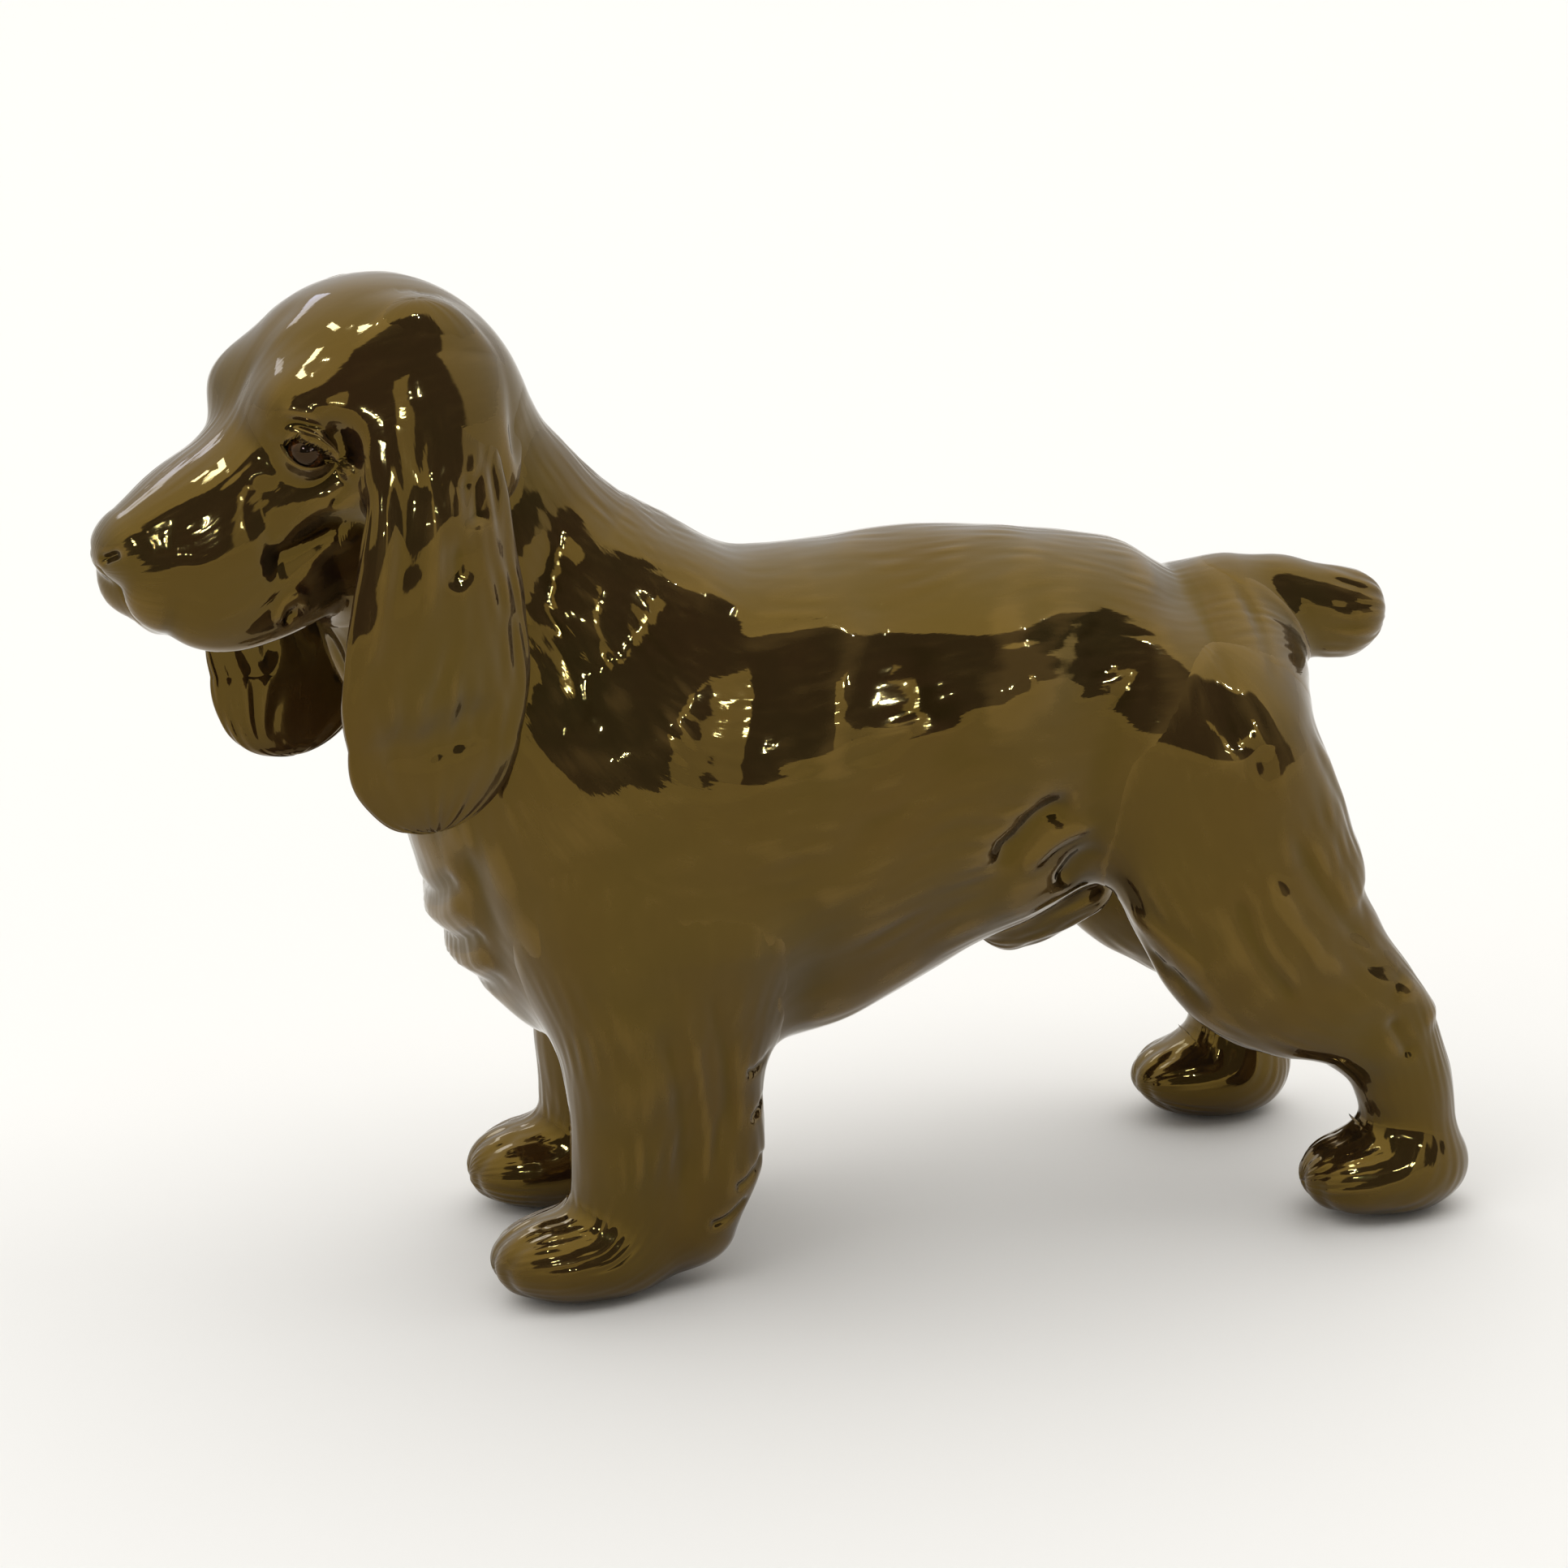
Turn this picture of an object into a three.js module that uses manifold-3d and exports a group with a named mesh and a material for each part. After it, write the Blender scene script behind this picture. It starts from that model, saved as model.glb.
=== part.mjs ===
// A standing spaniel in glazed earthenware, slip-cast in sections that are stuck together
// with liquid clay before firing. Millimetres, +Z up, the dog faces +X and its left is +Y.
//
// Each casting is a loft: elliptical sections carried along a smooth path, closed by round
// ends. The body, the head and the four legs are hollow, with one connected air space that
// opens to the outside through a firing vent under the belly. Ears, tail, belly tuft and eye
// beads are solid clay.
import * as THREE from "three";
import { mergeVertices } from "three/addons/utils/BufferGeometryUtils.js";
import Module from "manifold-3d";

// ---- Driving dimensions -------------------------------------------------------------------
const bodyWall = 4; // clay left on the mould's wall in the body and head
const legWall = 3; // the same in the legs, which are cast thinner
const lutingGap = 0.3; // clearance between two castings where they are stuck together
const chestHalfWidth = 21.5; // widest point of the ribs
const frontTrack = 28; // between the centres of the fore paws
const rearTrack = 37; // between the centres of the hind paws
const stride = 11; // how far the left hind paw stands behind the right one
const headTurn = THREE.MathUtils.degToRad(18); // the head looks to the dog's left
const skullCentre = new THREE.Vector3(50, 2, 105.5); // where the head's own axes start
const earHalfLength = 15; // from the ear's root to the middle of its lobe
const earHalfWidth = 12.6;
const earThickness = 5;
const eyeRadius = 2.6;
const ventRadius = 1.8;
const neckCut = new THREE.Vector3(38.5, 0, 96); // a point on the plane between body and head
const neckTilt = THREE.MathUtils.degToRad(28); // that plane leans forward by this much

const sideways = new THREE.Vector3(0, 1, 0);

const wasm = await Module();
wasm.setup();

// ---- Solids -------------------------------------------------------------------------------

/** A closed three.js geometry as a solid that can be joined and cut. */
function solidOf(geometry) {
  const bare = geometry.clone();
  bare.deleteAttribute("normal");
  bare.deleteAttribute("uv");
  const merged = mergeVertices(bare, 1e-4);
  return new wasm.Manifold(
    new wasm.Mesh({
      numProp: 3,
      vertProperties: new Float32Array(merged.attributes.position.array),
      triVerts: new Uint32Array(merged.index.array),
    }),
  );
}

/** The largest body of a solid: a cut can leave loose slivers beside it. */
function largest(solid) {
  return solid.decompose().reduce((a, b) => (a.volume() > b.volume() ? a : b));
}

/** A solid as a named mesh of the assembly. */
function casting(name, solid, material) {
  const { numProp, numVert, vertProperties, triVerts } = largest(solid).getMesh();
  const positions = new Float32Array(numVert * 3);
  for (let i = 0; i < numVert; i++)
    positions.set(vertProperties.subarray(i * numProp, i * numProp + 3), i * 3);
  const geometry = new THREE.BufferGeometry();
  geometry.setAttribute("position", new THREE.BufferAttribute(positions, 3));
  geometry.setIndex(new THREE.BufferAttribute(triVerts, 1));
  geometry.computeVertexNormals();
  const mesh = new THREE.Mesh(geometry, material);
  mesh.name = name;
  return mesh;
}

/**
 * Elliptical sections carried along a smooth path, with round ends.
 * Each station is [x, y, z, half width along `side`, half depth across it].
 * `grow` widens every section, and a negative one makes the hollow inside a wall.
 */
function loft(stations, { side = sideways, grow = 0, around = 20, along = 14 } = {}) {
  const path = new THREE.CatmullRomCurve3(stations.map(([x, y, z]) => new THREE.Vector3(x, y, z)));
  const widths = new THREE.CatmullRomCurve3(stations.map(([, , , w, d]) => new THREE.Vector3(w, d, 0)));
  const skin = new THREE.SphereGeometry(1, around, along);
  const { position, uv } = skin.attributes;
  const cap = 0.18; // share of the rings that each round end takes
  for (let i = 0; i < position.count; i++) {
    const ring = 1 - uv.getY(i);
    const turn = 2 * Math.PI * uv.getX(i);
    const t = THREE.MathUtils.clamp((ring - cap) / (1 - 2 * cap), 0, 1);
    const lean = (Math.PI / 2) * (Math.max(0, ring - 1 + cap) - Math.max(0, cap - ring)) / cap;
    const centre = path.getPoint(t);
    const forward = path.getTangent(t);
    const depthways = new THREE.Vector3().crossVectors(side, forward).normalize();
    const across = new THREE.Vector3().crossVectors(forward, depthways);
    const { x: width, y: depth } = widths.getPoint(t);
    const w = Math.max(width + grow, 0.4) * Math.cos(lean);
    const d = Math.max(depth + grow, 0.4) * Math.cos(lean);
    const reach = Math.max(depth + grow, 0.4) * Math.sin(lean);
    centre.addScaledVector(forward, reach);
    centre.addScaledVector(across, w * Math.cos(turn));
    centre.addScaledVector(depthways, d * Math.sin(turn));
    position.setXYZ(i, centre.x, centre.y, centre.z);
  }
  return solidOf(skin);
}

/** An ellipsoid, turned about +Z. */
function egg(centre, radii, { turn = 0, grow = 0, around = 20, along = 12 } = {}) {
  const skin = new THREE.SphereGeometry(1, around, along);
  skin.scale(radii[0] + grow, radii[1] + grow, radii[2] + grow);
  skin.rotateZ(turn);
  skin.translate(centre.x, centre.y, centre.z);
  return solidOf(skin);
}

/** Everything below the floor, which flattens the soles. */
function underFloor() {
  const block = new THREE.BoxGeometry(400, 200, 60);
  block.translate(0, 0, -30);
  return solidOf(block);
}

/** Everything on one side of the plane between body and head, set back by half the gap. */
function pastNeck(sign) {
  const size = 240;
  const block = new THREE.BoxGeometry(size, size, size);
  block.translate(0, 0, sign * (size / 2 - lutingGap / 2));
  block.rotateY(neckTilt);
  block.translate(neckCut.x, neckCut.y, neckCut.z);
  return solidOf(block);
}

// ---- Body ---------------------------------------------------------------------------------

const barrelStations = [
  [-50, 0, 69.2, 18, 19.8],
  [-34, 0, 67.3, 19.2, 24.5],
  [-20, 0, 66, 20, 26.5],
  [-6, 0, 63.3, chestHalfWidth, 29.7],
  [4, 0, 61, chestHalfWidth + 0.5, 31.5],
  [10, 0, 60, chestHalfWidth, 31],
];
const neckStations = [
  [21, 0, 58, chestHalfWidth - 0.5, 22.5],
  [28, 0, 70.7, 20, 22.3],
  [33.2, 0, 80.3, 17.5, 22],
  [39, 0, 88.3, 15, 20],
  [43.3, 0, 96.2, 13.7, 17.8],
  [46.4, 0, 102.4, 12.7, 16],
  [48.5, 0, 108, 11.5, 14],
];
const bibStations = [
  [34.5, 0, 64, 11, 9],
  [33, 0, 52, 11, 9.5],
  [28.5, 0, 41, 10, 9],
  [22, 0, 36, 10, 7],
];
const brisketStations = [
  [12, 0, 35, 13, 8.5],
  [0, 0, 36.5, 14, 8.5],
  [-12, 0, 42, 14, 9],
  [-26, 0, 48, 14, 8],
];

const trunk = (grow = 0) =>
  loft(barrelStations, { grow, around: 30, along: 22 }).add(loft(neckStations, { grow, around: 28, along: 22 }));
const trunkAndFur = (grow = 0) =>
  trunk(grow).add(loft(bibStations, { grow })).add(loft(brisketStations, { grow }));

/** The firing vent: a round hole up through the belly into the hollow. */
function vent() {
  const drill = new THREE.CylinderGeometry(ventRadius, ventRadius, 26, 16);
  drill.rotateX(Math.PI / 2);
  drill.translate(-12, 0, 38);
  return solidOf(drill);
}

// ---- Legs ---------------------------------------------------------------------------------

/** The fore leg: a column, the feathering behind it and the paw. s is 1 on the left. */
function foreleg(s, grow = 0) {
  const y = (s * frontTrack) / 2;
  const back = s > 0 ? 0 : 2.5; // the right leg stands a little further back
  const column = [
    [25 - back, s * 12.5, 54, 8.5, 11],
    [24.5 - back, y, 44, 9, 12],
    [24.2 - back, y, 30, 7.6, 8.6],
    [24.7 - back, y, 14, 7, 7.4],
    [26 - back, y, 6.5, 6.5, 7],
  ];
  const feathering = [
    [13 - back, y, 42, 7.5, 8],
    [13 - back, y, 32, 6.5, 6.6],
    [13.2 - back, y, 18, 6, 6.6],
    [16.5 - back, y, 8, 5.5, 6.2],
  ];
  const paw = new THREE.Vector3(31.2 - back, y + 0.5 * s, 5.4);
  return loft(column, { grow })
    .add(loft(feathering, { grow, around: 16, along: 12 }))
    .add(egg(paw, [11, 8, 6], { grow }));
}

/** The hollow of a fore leg, from its open top down to the ankle. */
function forelegHollow(s) {
  const y = (s * frontTrack) / 2;
  const back = s > 0 ? 0 : 2.5;
  return loft(
    [
      [23 - back, s * 10, 62, 8.5, 9],
      [22.5 - back, y, 44, 9, 10],
      [22 - back, y, 30, 7.6, 8.6],
      [23.5 - back, y, 17, 7, 7.4],
    ],
    { grow: -legWall, around: 14, along: 10 },
  );
}

/** The hind leg: haunch, stifle, hock and pastern in one sweep, and the paw. */
function hindleg(s, grow = 0) {
  const y = (s * rearTrack) / 2;
  const lag = s > 0 ? 0 : stride;
  const sweep = [
    [-52, s * 12, 62, 11, 14.5],
    [-56 + 0.1 * lag, s * 14.5, 51.5, 9.5, 16],
    [-62 + 0.5 * lag, s * 16.5, 38, 8.8, 14],
    [-74.5 + 0.75 * lag, y - 0.5 * s, 26.5, 6.3, 7.8],
    [-80 + 0.9 * lag, y - 0.5 * s, 16, 6, 6.5],
    [-81 + 0.95 * lag, y - 0.5 * s, 8, 6.3, 7],
  ];
  const paw = new THREE.Vector3(-77.8 + lag, y, 5.6);
  return loft(sweep, { grow, along: 18 }).add(egg(paw, [11.3, 7.8, 6], { grow }));
}

/** The hollow of a hind leg, from its open top down to the stifle. */
function hindlegHollow(s) {
  const lag = s > 0 ? 0 : stride;
  return loft(
    [
      [-46, s * 6, 66, 11, 12],
      [-52 + 0.1 * lag, s * 14, 51, 9.5, 14],
      [-60 + 0.45 * lag, s * 16.5, 38, 8.8, 11],
      [-67 + 0.6 * lag, s * 17.2, 33, 7, 8],
    ],
    { grow: -legWall, around: 14, along: 10 },
  );
}

// ---- Head ---------------------------------------------------------------------------------

const headForward = new THREE.Vector3(Math.cos(headTurn), Math.sin(headTurn), 0);
const headLeft = new THREE.Vector3(-Math.sin(headTurn), Math.cos(headTurn), 0);

/** A point of the head: p forward of the skull's centre, q to the dog's left and r up. */
function inHead(p, q, r) {
  return skullCentre
    .clone()
    .addScaledVector(headForward, p)
    .addScaledVector(headLeft, q)
    .add(new THREE.Vector3(0, 0, r));
}

/** Stations given as [p, q, r, half width, half depth] in the head's own axes. */
function headLoft(stations, options) {
  const placed = stations.map(([p, q, r, w, d]) => [...inHead(p, q, r).toArray(), w, d]);
  return loft(placed, { ...options, side: headLeft });
}

const skull = (grow = 0) =>
  egg(inHead(2.5, 0, 7.2), [17, 14.5, 16.2], { turn: headTurn, grow, around: 28, along: 18 });

/** Skull, muzzle, jaw, the two flews that hang over it, and the two brows. */
function headMass(grow = 0) {
  const muzzle = [
    [8, 0, 0, 11.5, 9],
    [18, 0, -1.5, 9, 8],
    [26, 0, -4.5, 7.6, 7],
    [32, 0, -6.2, 6.6, 5.8],
    [33.8, 0, -6.2, 5.6, 4.6],
  ];
  const jaw = [
    [4, 0, -8, 9, 9],
    [14, 0, -10.5, 7, 5.5],
    [24, 0, -12.5, 4.5, 3.4],
  ];
  let mass = skull(grow)
    .add(headLoft(muzzle, { grow, around: 24, along: 16 }))
    .add(headLoft(jaw, { grow, around: 14, along: 10 }));
  for (const s of [1, -1]) {
    const flew = [
      [13, 5.5 * s, -8, 4, 7],
      [20, 5.5 * s, -9.5, 4, 7.5],
      [27, 4.4 * s, -10, 4, 6.6],
      [32, 3 * s, -8.6, 3.6, 4.6],
    ];
    mass = mass
      .add(headLoft(flew, { grow, around: 14, along: 10 }))
      .add(egg(inHead(12.8, 6.6 * s, 10.6), [6.2, 5.2, 5.6], { turn: headTurn, grow, around: 12, along: 8 }));
  }
  return mass;
}

/** An ear: a flat leaf of clay that hangs beside the cheek, widest low in its lobe. */
function ear(s, grow = 0) {
  const rootToLobe = [
    [2, 14.5 * s, 6, 0.64, 0.48],
    [2.6, 15.8 * s, -2, 0.56, 0.7],
    [3.6, 17 * s, -12, 0.52, 0.89],
    [4.3, 17.8 * s, -21, 0.48, 1],
    [4.6, 18 * s, -27, 0.44, 0.95],
    [4.8, 18 * s, -29, 0.4, 0.86],
  ];
  const drop = earHalfLength / 15; // stretches the leaf below its root
  const stations = rootToLobe.map(([p, q, r, thin, wide]) => [
    p,
    q,
    6 + (r - 6) * drop,
    thin * earThickness,
    wide * earHalfWidth,
  ]);
  return headLoft(stations, { grow, around: 24, along: 16 });
}

/** An eye bead, half sunk under the brow. */
const eye = (s, grow = 0) =>
  egg(inHead(15.6, 8.9 * s, 6.6), [eyeRadius, eyeRadius, eyeRadius], { grow, around: 14, along: 10 });

// ---- Tail and belly tuft ------------------------------------------------------------------

const tailStations = [
  [-60, 0, 79.5, 5.5, 6.5],
  [-68, 0, 78.6, 5, 6.4],
  [-76, 0, 77, 4.6, 6],
];
const tuftStations = [
  [-40, 0, 43, 4, 5],
  [-34, 0, 40.5, 4, 5],
  [-31, 0, 39.5, 4, 4.8],
];

// ---- Assembly -----------------------------------------------------------------------------

const glaze = new THREE.MeshStandardMaterial({ color: 0x5f4c26, roughness: 0.12, metalness: 0 });
const eyeEnamel = new THREE.MeshStandardMaterial({ color: 0x3a1c06, roughness: 0.08, metalness: 0 });

const sides = [
  ["left", 1],
  ["right", -1],
];
const dog = new THREE.Group();
const bodyHollow = trunk(-bodyWall);
const floor = underFloor();

let body = trunkAndFur().subtract(bodyHollow).subtract(vent()).subtract(pastNeck(1));
let head = headMass().add(trunk()).subtract(bodyHollow).subtract(skull(-bodyWall)).subtract(pastNeck(-1));

for (const [side, s] of sides) {
  body = body.subtract(foreleg(s, lutingGap)).subtract(hindleg(s, lutingGap));
  head = head.subtract(eye(s, lutingGap));
  dog.add(casting(`${side}_eye`, eye(s), eyeEnamel));
  dog.add(
    casting(
      `${side}_foreleg`,
      foreleg(s).subtract(bodyHollow).subtract(forelegHollow(s)).subtract(floor),
      glaze,
    ),
  );
  dog.add(
    casting(
      `${side}_hindleg`,
      hindleg(s).subtract(bodyHollow).subtract(hindlegHollow(s)).subtract(floor),
      glaze,
    ),
  );
  dog.add(
    casting(
      `${side}_ear`,
      ear(s).subtract(headMass(lutingGap)).subtract(trunkAndFur(lutingGap)),
      glaze,
    ),
  );
}
dog.add(casting("body_shell", body, glaze));
dog.add(casting("head_shell", head, glaze));
dog.add(casting("tail", loft(tailStations).subtract(trunkAndFur(lutingGap)), glaze));
dog.add(casting("belly_tuft", loft(tuftStations, { around: 14, along: 10 }).subtract(trunkAndFur(lutingGap)), glaze));

// The origin is under the middle of the whole figure, on the floor it stands on.
const extent = new THREE.Box3().setFromObject(dog);
dog.position.x = -(extent.min.x + extent.max.x) / 2;
dog.position.y = -(extent.min.y + extent.max.y) / 2;

export default dog;
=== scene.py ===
"""A standing spaniel in glazed ceramic, modelled casting by casting.

Every casting is a surface of two parameters. Rings are set along the casting's spine, spokes leave
each ring's centre, and the surface lies where the modelled mass ends along each spoke. Masses are
sums of simple limbs and eggs whose joins are filleted, so neighbouring castings meet as luted clay
does. The maker's tool marks, folds and brushed coat are then raised from or cut in that surface.
"""

import logging
import math
from dataclasses import dataclass, field, replace
from enum import Enum
from typing import Callable, Sequence

import bpy
import numpy as np
from mathutils import Matrix, Vector


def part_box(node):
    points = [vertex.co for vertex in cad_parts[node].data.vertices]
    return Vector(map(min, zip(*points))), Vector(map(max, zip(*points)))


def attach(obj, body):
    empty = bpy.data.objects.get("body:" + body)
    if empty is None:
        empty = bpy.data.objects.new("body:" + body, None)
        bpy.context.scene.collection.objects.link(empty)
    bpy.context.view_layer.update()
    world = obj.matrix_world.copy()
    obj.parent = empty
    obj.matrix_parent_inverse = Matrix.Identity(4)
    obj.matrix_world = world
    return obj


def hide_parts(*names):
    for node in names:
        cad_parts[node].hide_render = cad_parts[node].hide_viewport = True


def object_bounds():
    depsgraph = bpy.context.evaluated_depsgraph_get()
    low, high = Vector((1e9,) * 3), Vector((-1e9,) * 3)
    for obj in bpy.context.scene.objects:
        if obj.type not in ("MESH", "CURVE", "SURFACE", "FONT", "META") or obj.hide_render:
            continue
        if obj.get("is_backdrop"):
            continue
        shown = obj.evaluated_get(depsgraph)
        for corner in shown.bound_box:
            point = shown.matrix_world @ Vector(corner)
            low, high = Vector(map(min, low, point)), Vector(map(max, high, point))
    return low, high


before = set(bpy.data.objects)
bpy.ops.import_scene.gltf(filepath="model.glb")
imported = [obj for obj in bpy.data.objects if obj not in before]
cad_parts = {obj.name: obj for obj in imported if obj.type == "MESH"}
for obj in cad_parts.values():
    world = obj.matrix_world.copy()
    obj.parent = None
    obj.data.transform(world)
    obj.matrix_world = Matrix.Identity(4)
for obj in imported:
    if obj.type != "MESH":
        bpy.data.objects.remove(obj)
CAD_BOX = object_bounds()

LOG = logging.getLogger("spaniel")
Array = np.ndarray
Mass = Callable[[Array], Array]
Socket = bpy.types.NodeSocket

MM = 0.001
MODEL_LENGTH = 175.88  # mm from nose to hocks, the length that the tables of stations are drawn at
MODEL_MIDDLE = -1.158  # mm, where the middle of that length lies on the tables' own x axis
FINENESS = 1.0  # share of the full number of rings and spokes


# ---- Small shared maths -------------------------------------------------------------------------


def smoothstep(low: float, high: float, x: Array) -> Array:
    """0 below low, 1 above high and 3t^2 - 2t^3 between them."""
    t = np.clip((x - low) / (high - low), 0.0, 1.0)
    return t * t * (3.0 - 2.0 * t)


def curve_through(rows: Sequence[Sequence[float]], spans: int) -> Array:
    """A smooth curve through rows of numbers.

    Between two rows it is the cubic whose end slopes are half the difference of the rows on either
    side, so position, width and tilt all flow through the stations together.

    Args:
        rows: one row of numbers per station.
        spans: samples between one station and the next.

    Returns:
        The sampled rows.
    """
    p = np.asarray(rows, float)
    p = np.vstack([2 * p[0] - p[1], p, 2 * p[-1] - p[-2]])
    a, b, c, d = p[:-3, None], p[1:-2, None], p[2:-1, None], p[3:, None]
    t = np.linspace(0.0, 1.0, spans, endpoint=False)[None, :, None]
    cubic = 0.5 * (
        2 * b + (c - a) * t + (2 * a - 5 * b + 4 * c - d) * t**2 + (3 * b - a - 3 * c + d) * t**3
    )
    return np.vstack([cubic.reshape(-1, p.shape[1]), p[-2][None]])


def resample(table: Array, at: Array) -> Array:
    """The rows of table at positions 0..1 along it, by straight lines between its rows."""
    place = np.linspace(0.0, 1.0, len(table))
    return np.stack([np.interp(at, place, column) for column in table.T], -1)


def meet(a: Array, b: Array, fillet: float) -> Array:
    """The union of two masses with a fillet: min(a, b) less h^2 k / 4, h = (k - |a - b|) / k."""
    h = np.clip(fillet - np.abs(a - b), 0.0, None) / fillet
    return np.minimum(a, b) - h * h * fillet * 0.25


def carve(a: Array, b: Array, fillet: float) -> Array:
    """Mass a with b cut out of it, its edges rounded."""
    return -meet(-a, b, fillet)


def luting(own: Array, other: Array, fillet: float) -> Array:
    """How far a casting swells beside its neighbour, so that the two share one clay fillet.

    With s = own - other and fillet k, it is k/4 (1 + s/k)^2 while the casting is the nearer one.
    Past the seam it goes on along its tangent and then fades, which sends the casting's edge down
    under its neighbour.

    Args:
        own: distance to the casting itself.
        other: distance to its neighbour.
        fillet: size of the fillet.

    Returns:
        The thickness of clay to add.
    """
    s = own - other
    before = 0.25 * fillet * np.clip(1.0 + s / fillet, 0.0, None) ** 2
    after = (0.25 * fillet + 0.5 * s) * (1.0 - smoothstep(0.0, 1.8 * fillet, s))
    return np.where(s < 0.0, before, after)


@dataclass(frozen=True)
class Waves:
    """Slow swells with no direction of their own: cosine waves of random ways, pitches and phases.

    length is the usual distance in mm from crest to crest. The sum is scaled to a mean square of 1.
    """

    seed: int
    length: float
    count: int = 26

    def at(self, points: Array) -> Array:
        """The sum of the waves at points, in mm, of any shape (..., 3)."""
        draw = np.random.default_rng(self.seed)
        ways = draw.normal(size=(self.count, 3))
        ways /= np.linalg.norm(ways, axis=1, keepdims=True)
        pitch = 2.0 * np.pi / (self.length * draw.uniform(0.7, 1.5, self.count))
        phases = draw.uniform(0.0, 2.0 * np.pi, self.count)
        total = np.zeros(points.shape[:-1])
        for way, phase in zip(ways * pitch[:, None], phases):
            total += np.cos(points @ way + phase)
        return total * math.sqrt(2.0 / self.count)


def crowded(places: Array, crowds: Sequence[tuple[float, float, float]], ring: bool) -> Array:
    """Moves evenly spread places so that they lie closer together where detail is wanted.

    The density is 1 + gain exp(-((x - middle) / width)^2) for each crowd, and a place goes to where
    the running sum of the density reaches its own share.

    Args:
        places: values of 0..1.
        crowds: (middle, width, gain) of each.
        ring: whether 0 and 1 are the same place.

    Returns:
        The moved values.
    """
    x = np.linspace(0.0, 1.0, 2001)
    density = np.ones_like(x)
    for middle, width, gain in crowds:
        away = np.abs(x - middle)
        away = np.minimum(away, 1.0 - away) if ring else away
        density += gain * np.exp(-((away / width) ** 2))
    total = np.concatenate([[0.0], np.cumsum((density[1:] + density[:-1]) / 2.0)])
    return np.interp(places, total / total[-1], x)


# ---- Axes and masses ----------------------------------------------------------------------------


@dataclass(frozen=True)
class Axes:
    """Axes of a part of the dog: forward, left and up, from an origin and a turn about up."""

    origin: tuple[float, float, float] = (0.0, 0.0, 0.0)
    turn: float = 0.0

    @property
    def basis(self) -> Array:
        """Rows: forward, left, up."""
        c, s = math.cos(self.turn), math.sin(self.turn)
        return np.array([[c, s, 0.0], [-s, c, 0.0], [0.0, 0.0, 1.0]])

    def local(self, points: Array) -> Array:
        """Points of the dog in these axes."""
        return (points - np.array(self.origin)) @ self.basis.T

    def dog(self, points: Array) -> Array:
        """Points in these axes as points of the dog."""
        return points @ self.basis + np.array(self.origin)


BODY = Axes()
HEAD = Axes((50.0, 2.0, 105.5), math.radians(18.0))


@dataclass(frozen=True)
class Limb:
    """A mass with elliptical sections along a smooth path.

    rows hold [x, y, z, half width along the left axis, half depth across it]. The path and its
    widths are cubics from row to row whose slopes meet. From the nearest point of the path, the
    distance is k0 (k0 - 1) / k1, with k0 and k1 the lengths of the offset divided once and twice
    by the half axes.
    """

    rows: tuple[tuple[float, ...], ...]
    axes: Axes = BODY

    def _cubics(self) -> Array:
        """The four coefficients of each stretch of the path: (4, stretches, 5)."""
        p = np.asarray(self.rows, float)
        p = np.vstack([2 * p[0] - p[1], p, 2 * p[-1] - p[-2]])
        a, b, c, d = p[:-3], p[1:-2], p[2:-1], p[3:]
        return np.stack([b, (c - a) / 2, (2 * a - 5 * b + 4 * c - d) / 2, (3 * b - a - 3 * c + d) / 2])

    def __call__(self, points: Array) -> Array:
        """Distance in mm to the mass, negative inside.

        The nearest of some evenly spread points of the path is improved three times by Newton's
        method, on the slope of the squared distance.

        Args:
            points: (n, 3) points of the dog.

        Returns:
            n distances.
        """
        p = self.axes.local(points)
        k = self._cubics()
        last = k.shape[1]
        tries = np.linspace(0.0, last, 6 * last + 1)
        stretch = np.minimum(tries.astype(int), last - 1)
        f = (tries - stretch)[:, None]
        spot = (k[0, stretch] + f * (k[1, stretch] + f * (k[2, stretch] + f * k[3, stretch])))[:, :3]
        t = tries[np.argmin((spot**2).sum(1) - 2.0 * (p @ spot.T), axis=1)]
        for _ in range(3):
            stretch = np.minimum(t.astype(int), last - 1)
            f = (t - stretch)[:, None]
            k0, k1, k2, k3 = k[:, stretch, :3]
            offset = k0 + f * (k1 + f * (k2 + f * k3)) - p
            pace = k1 + f * (2.0 * k2 + 3.0 * f * k3)
            bend = 2.0 * k2 + 6.0 * f * k3
            square = (pace * pace).sum(1)
            slope = np.maximum(square + (offset * bend).sum(1), 0.25 * square)
            t = np.clip(t - np.clip((offset * pace).sum(1) / slope, -0.3, 0.3), 0.0, last)
        stretch = np.minimum(t.astype(int), last - 1)
        f = (t - stretch)[:, None]
        k0, k1, k2, k3 = k[:, stretch]
        row = k0 + f * (k1 + f * (k2 + f * k3))
        q = (p - row[:, :3]) ** 2
        wide, deep = row[:, 3] ** 2, row[:, 4] ** 2
        rest = q[:, 0] + q[:, 2]
        once = np.sqrt(q[:, 1] / wide + rest / deep)
        twice = np.sqrt(q[:, 1] / wide**2 + rest / deep**2)
        inside = -np.sqrt(np.minimum(wide, deep))
        return np.where(twice < 1e-6, inside, once * (once - 1.0) / np.maximum(twice, 1e-6))


@dataclass(frozen=True)
class Egg:
    """An ellipsoidal mass with its half axes along the given axes."""

    centre: tuple[float, float, float]
    half: tuple[float, float, float]
    axes: Axes = BODY

    def __call__(self, points: Array) -> Array:
        """Distance in mm to the mass, negative inside."""
        q = self.axes.local(points) - np.array(self.centre)
        half = np.array(self.half)
        k0 = np.linalg.norm(q / half, axis=-1)
        k1 = np.linalg.norm(q / half**2, axis=-1)
        return np.where(k1 < 1e-6, -half.min(), k0 * (k0 - 1.0) / np.maximum(k1, 1e-6))


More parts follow.
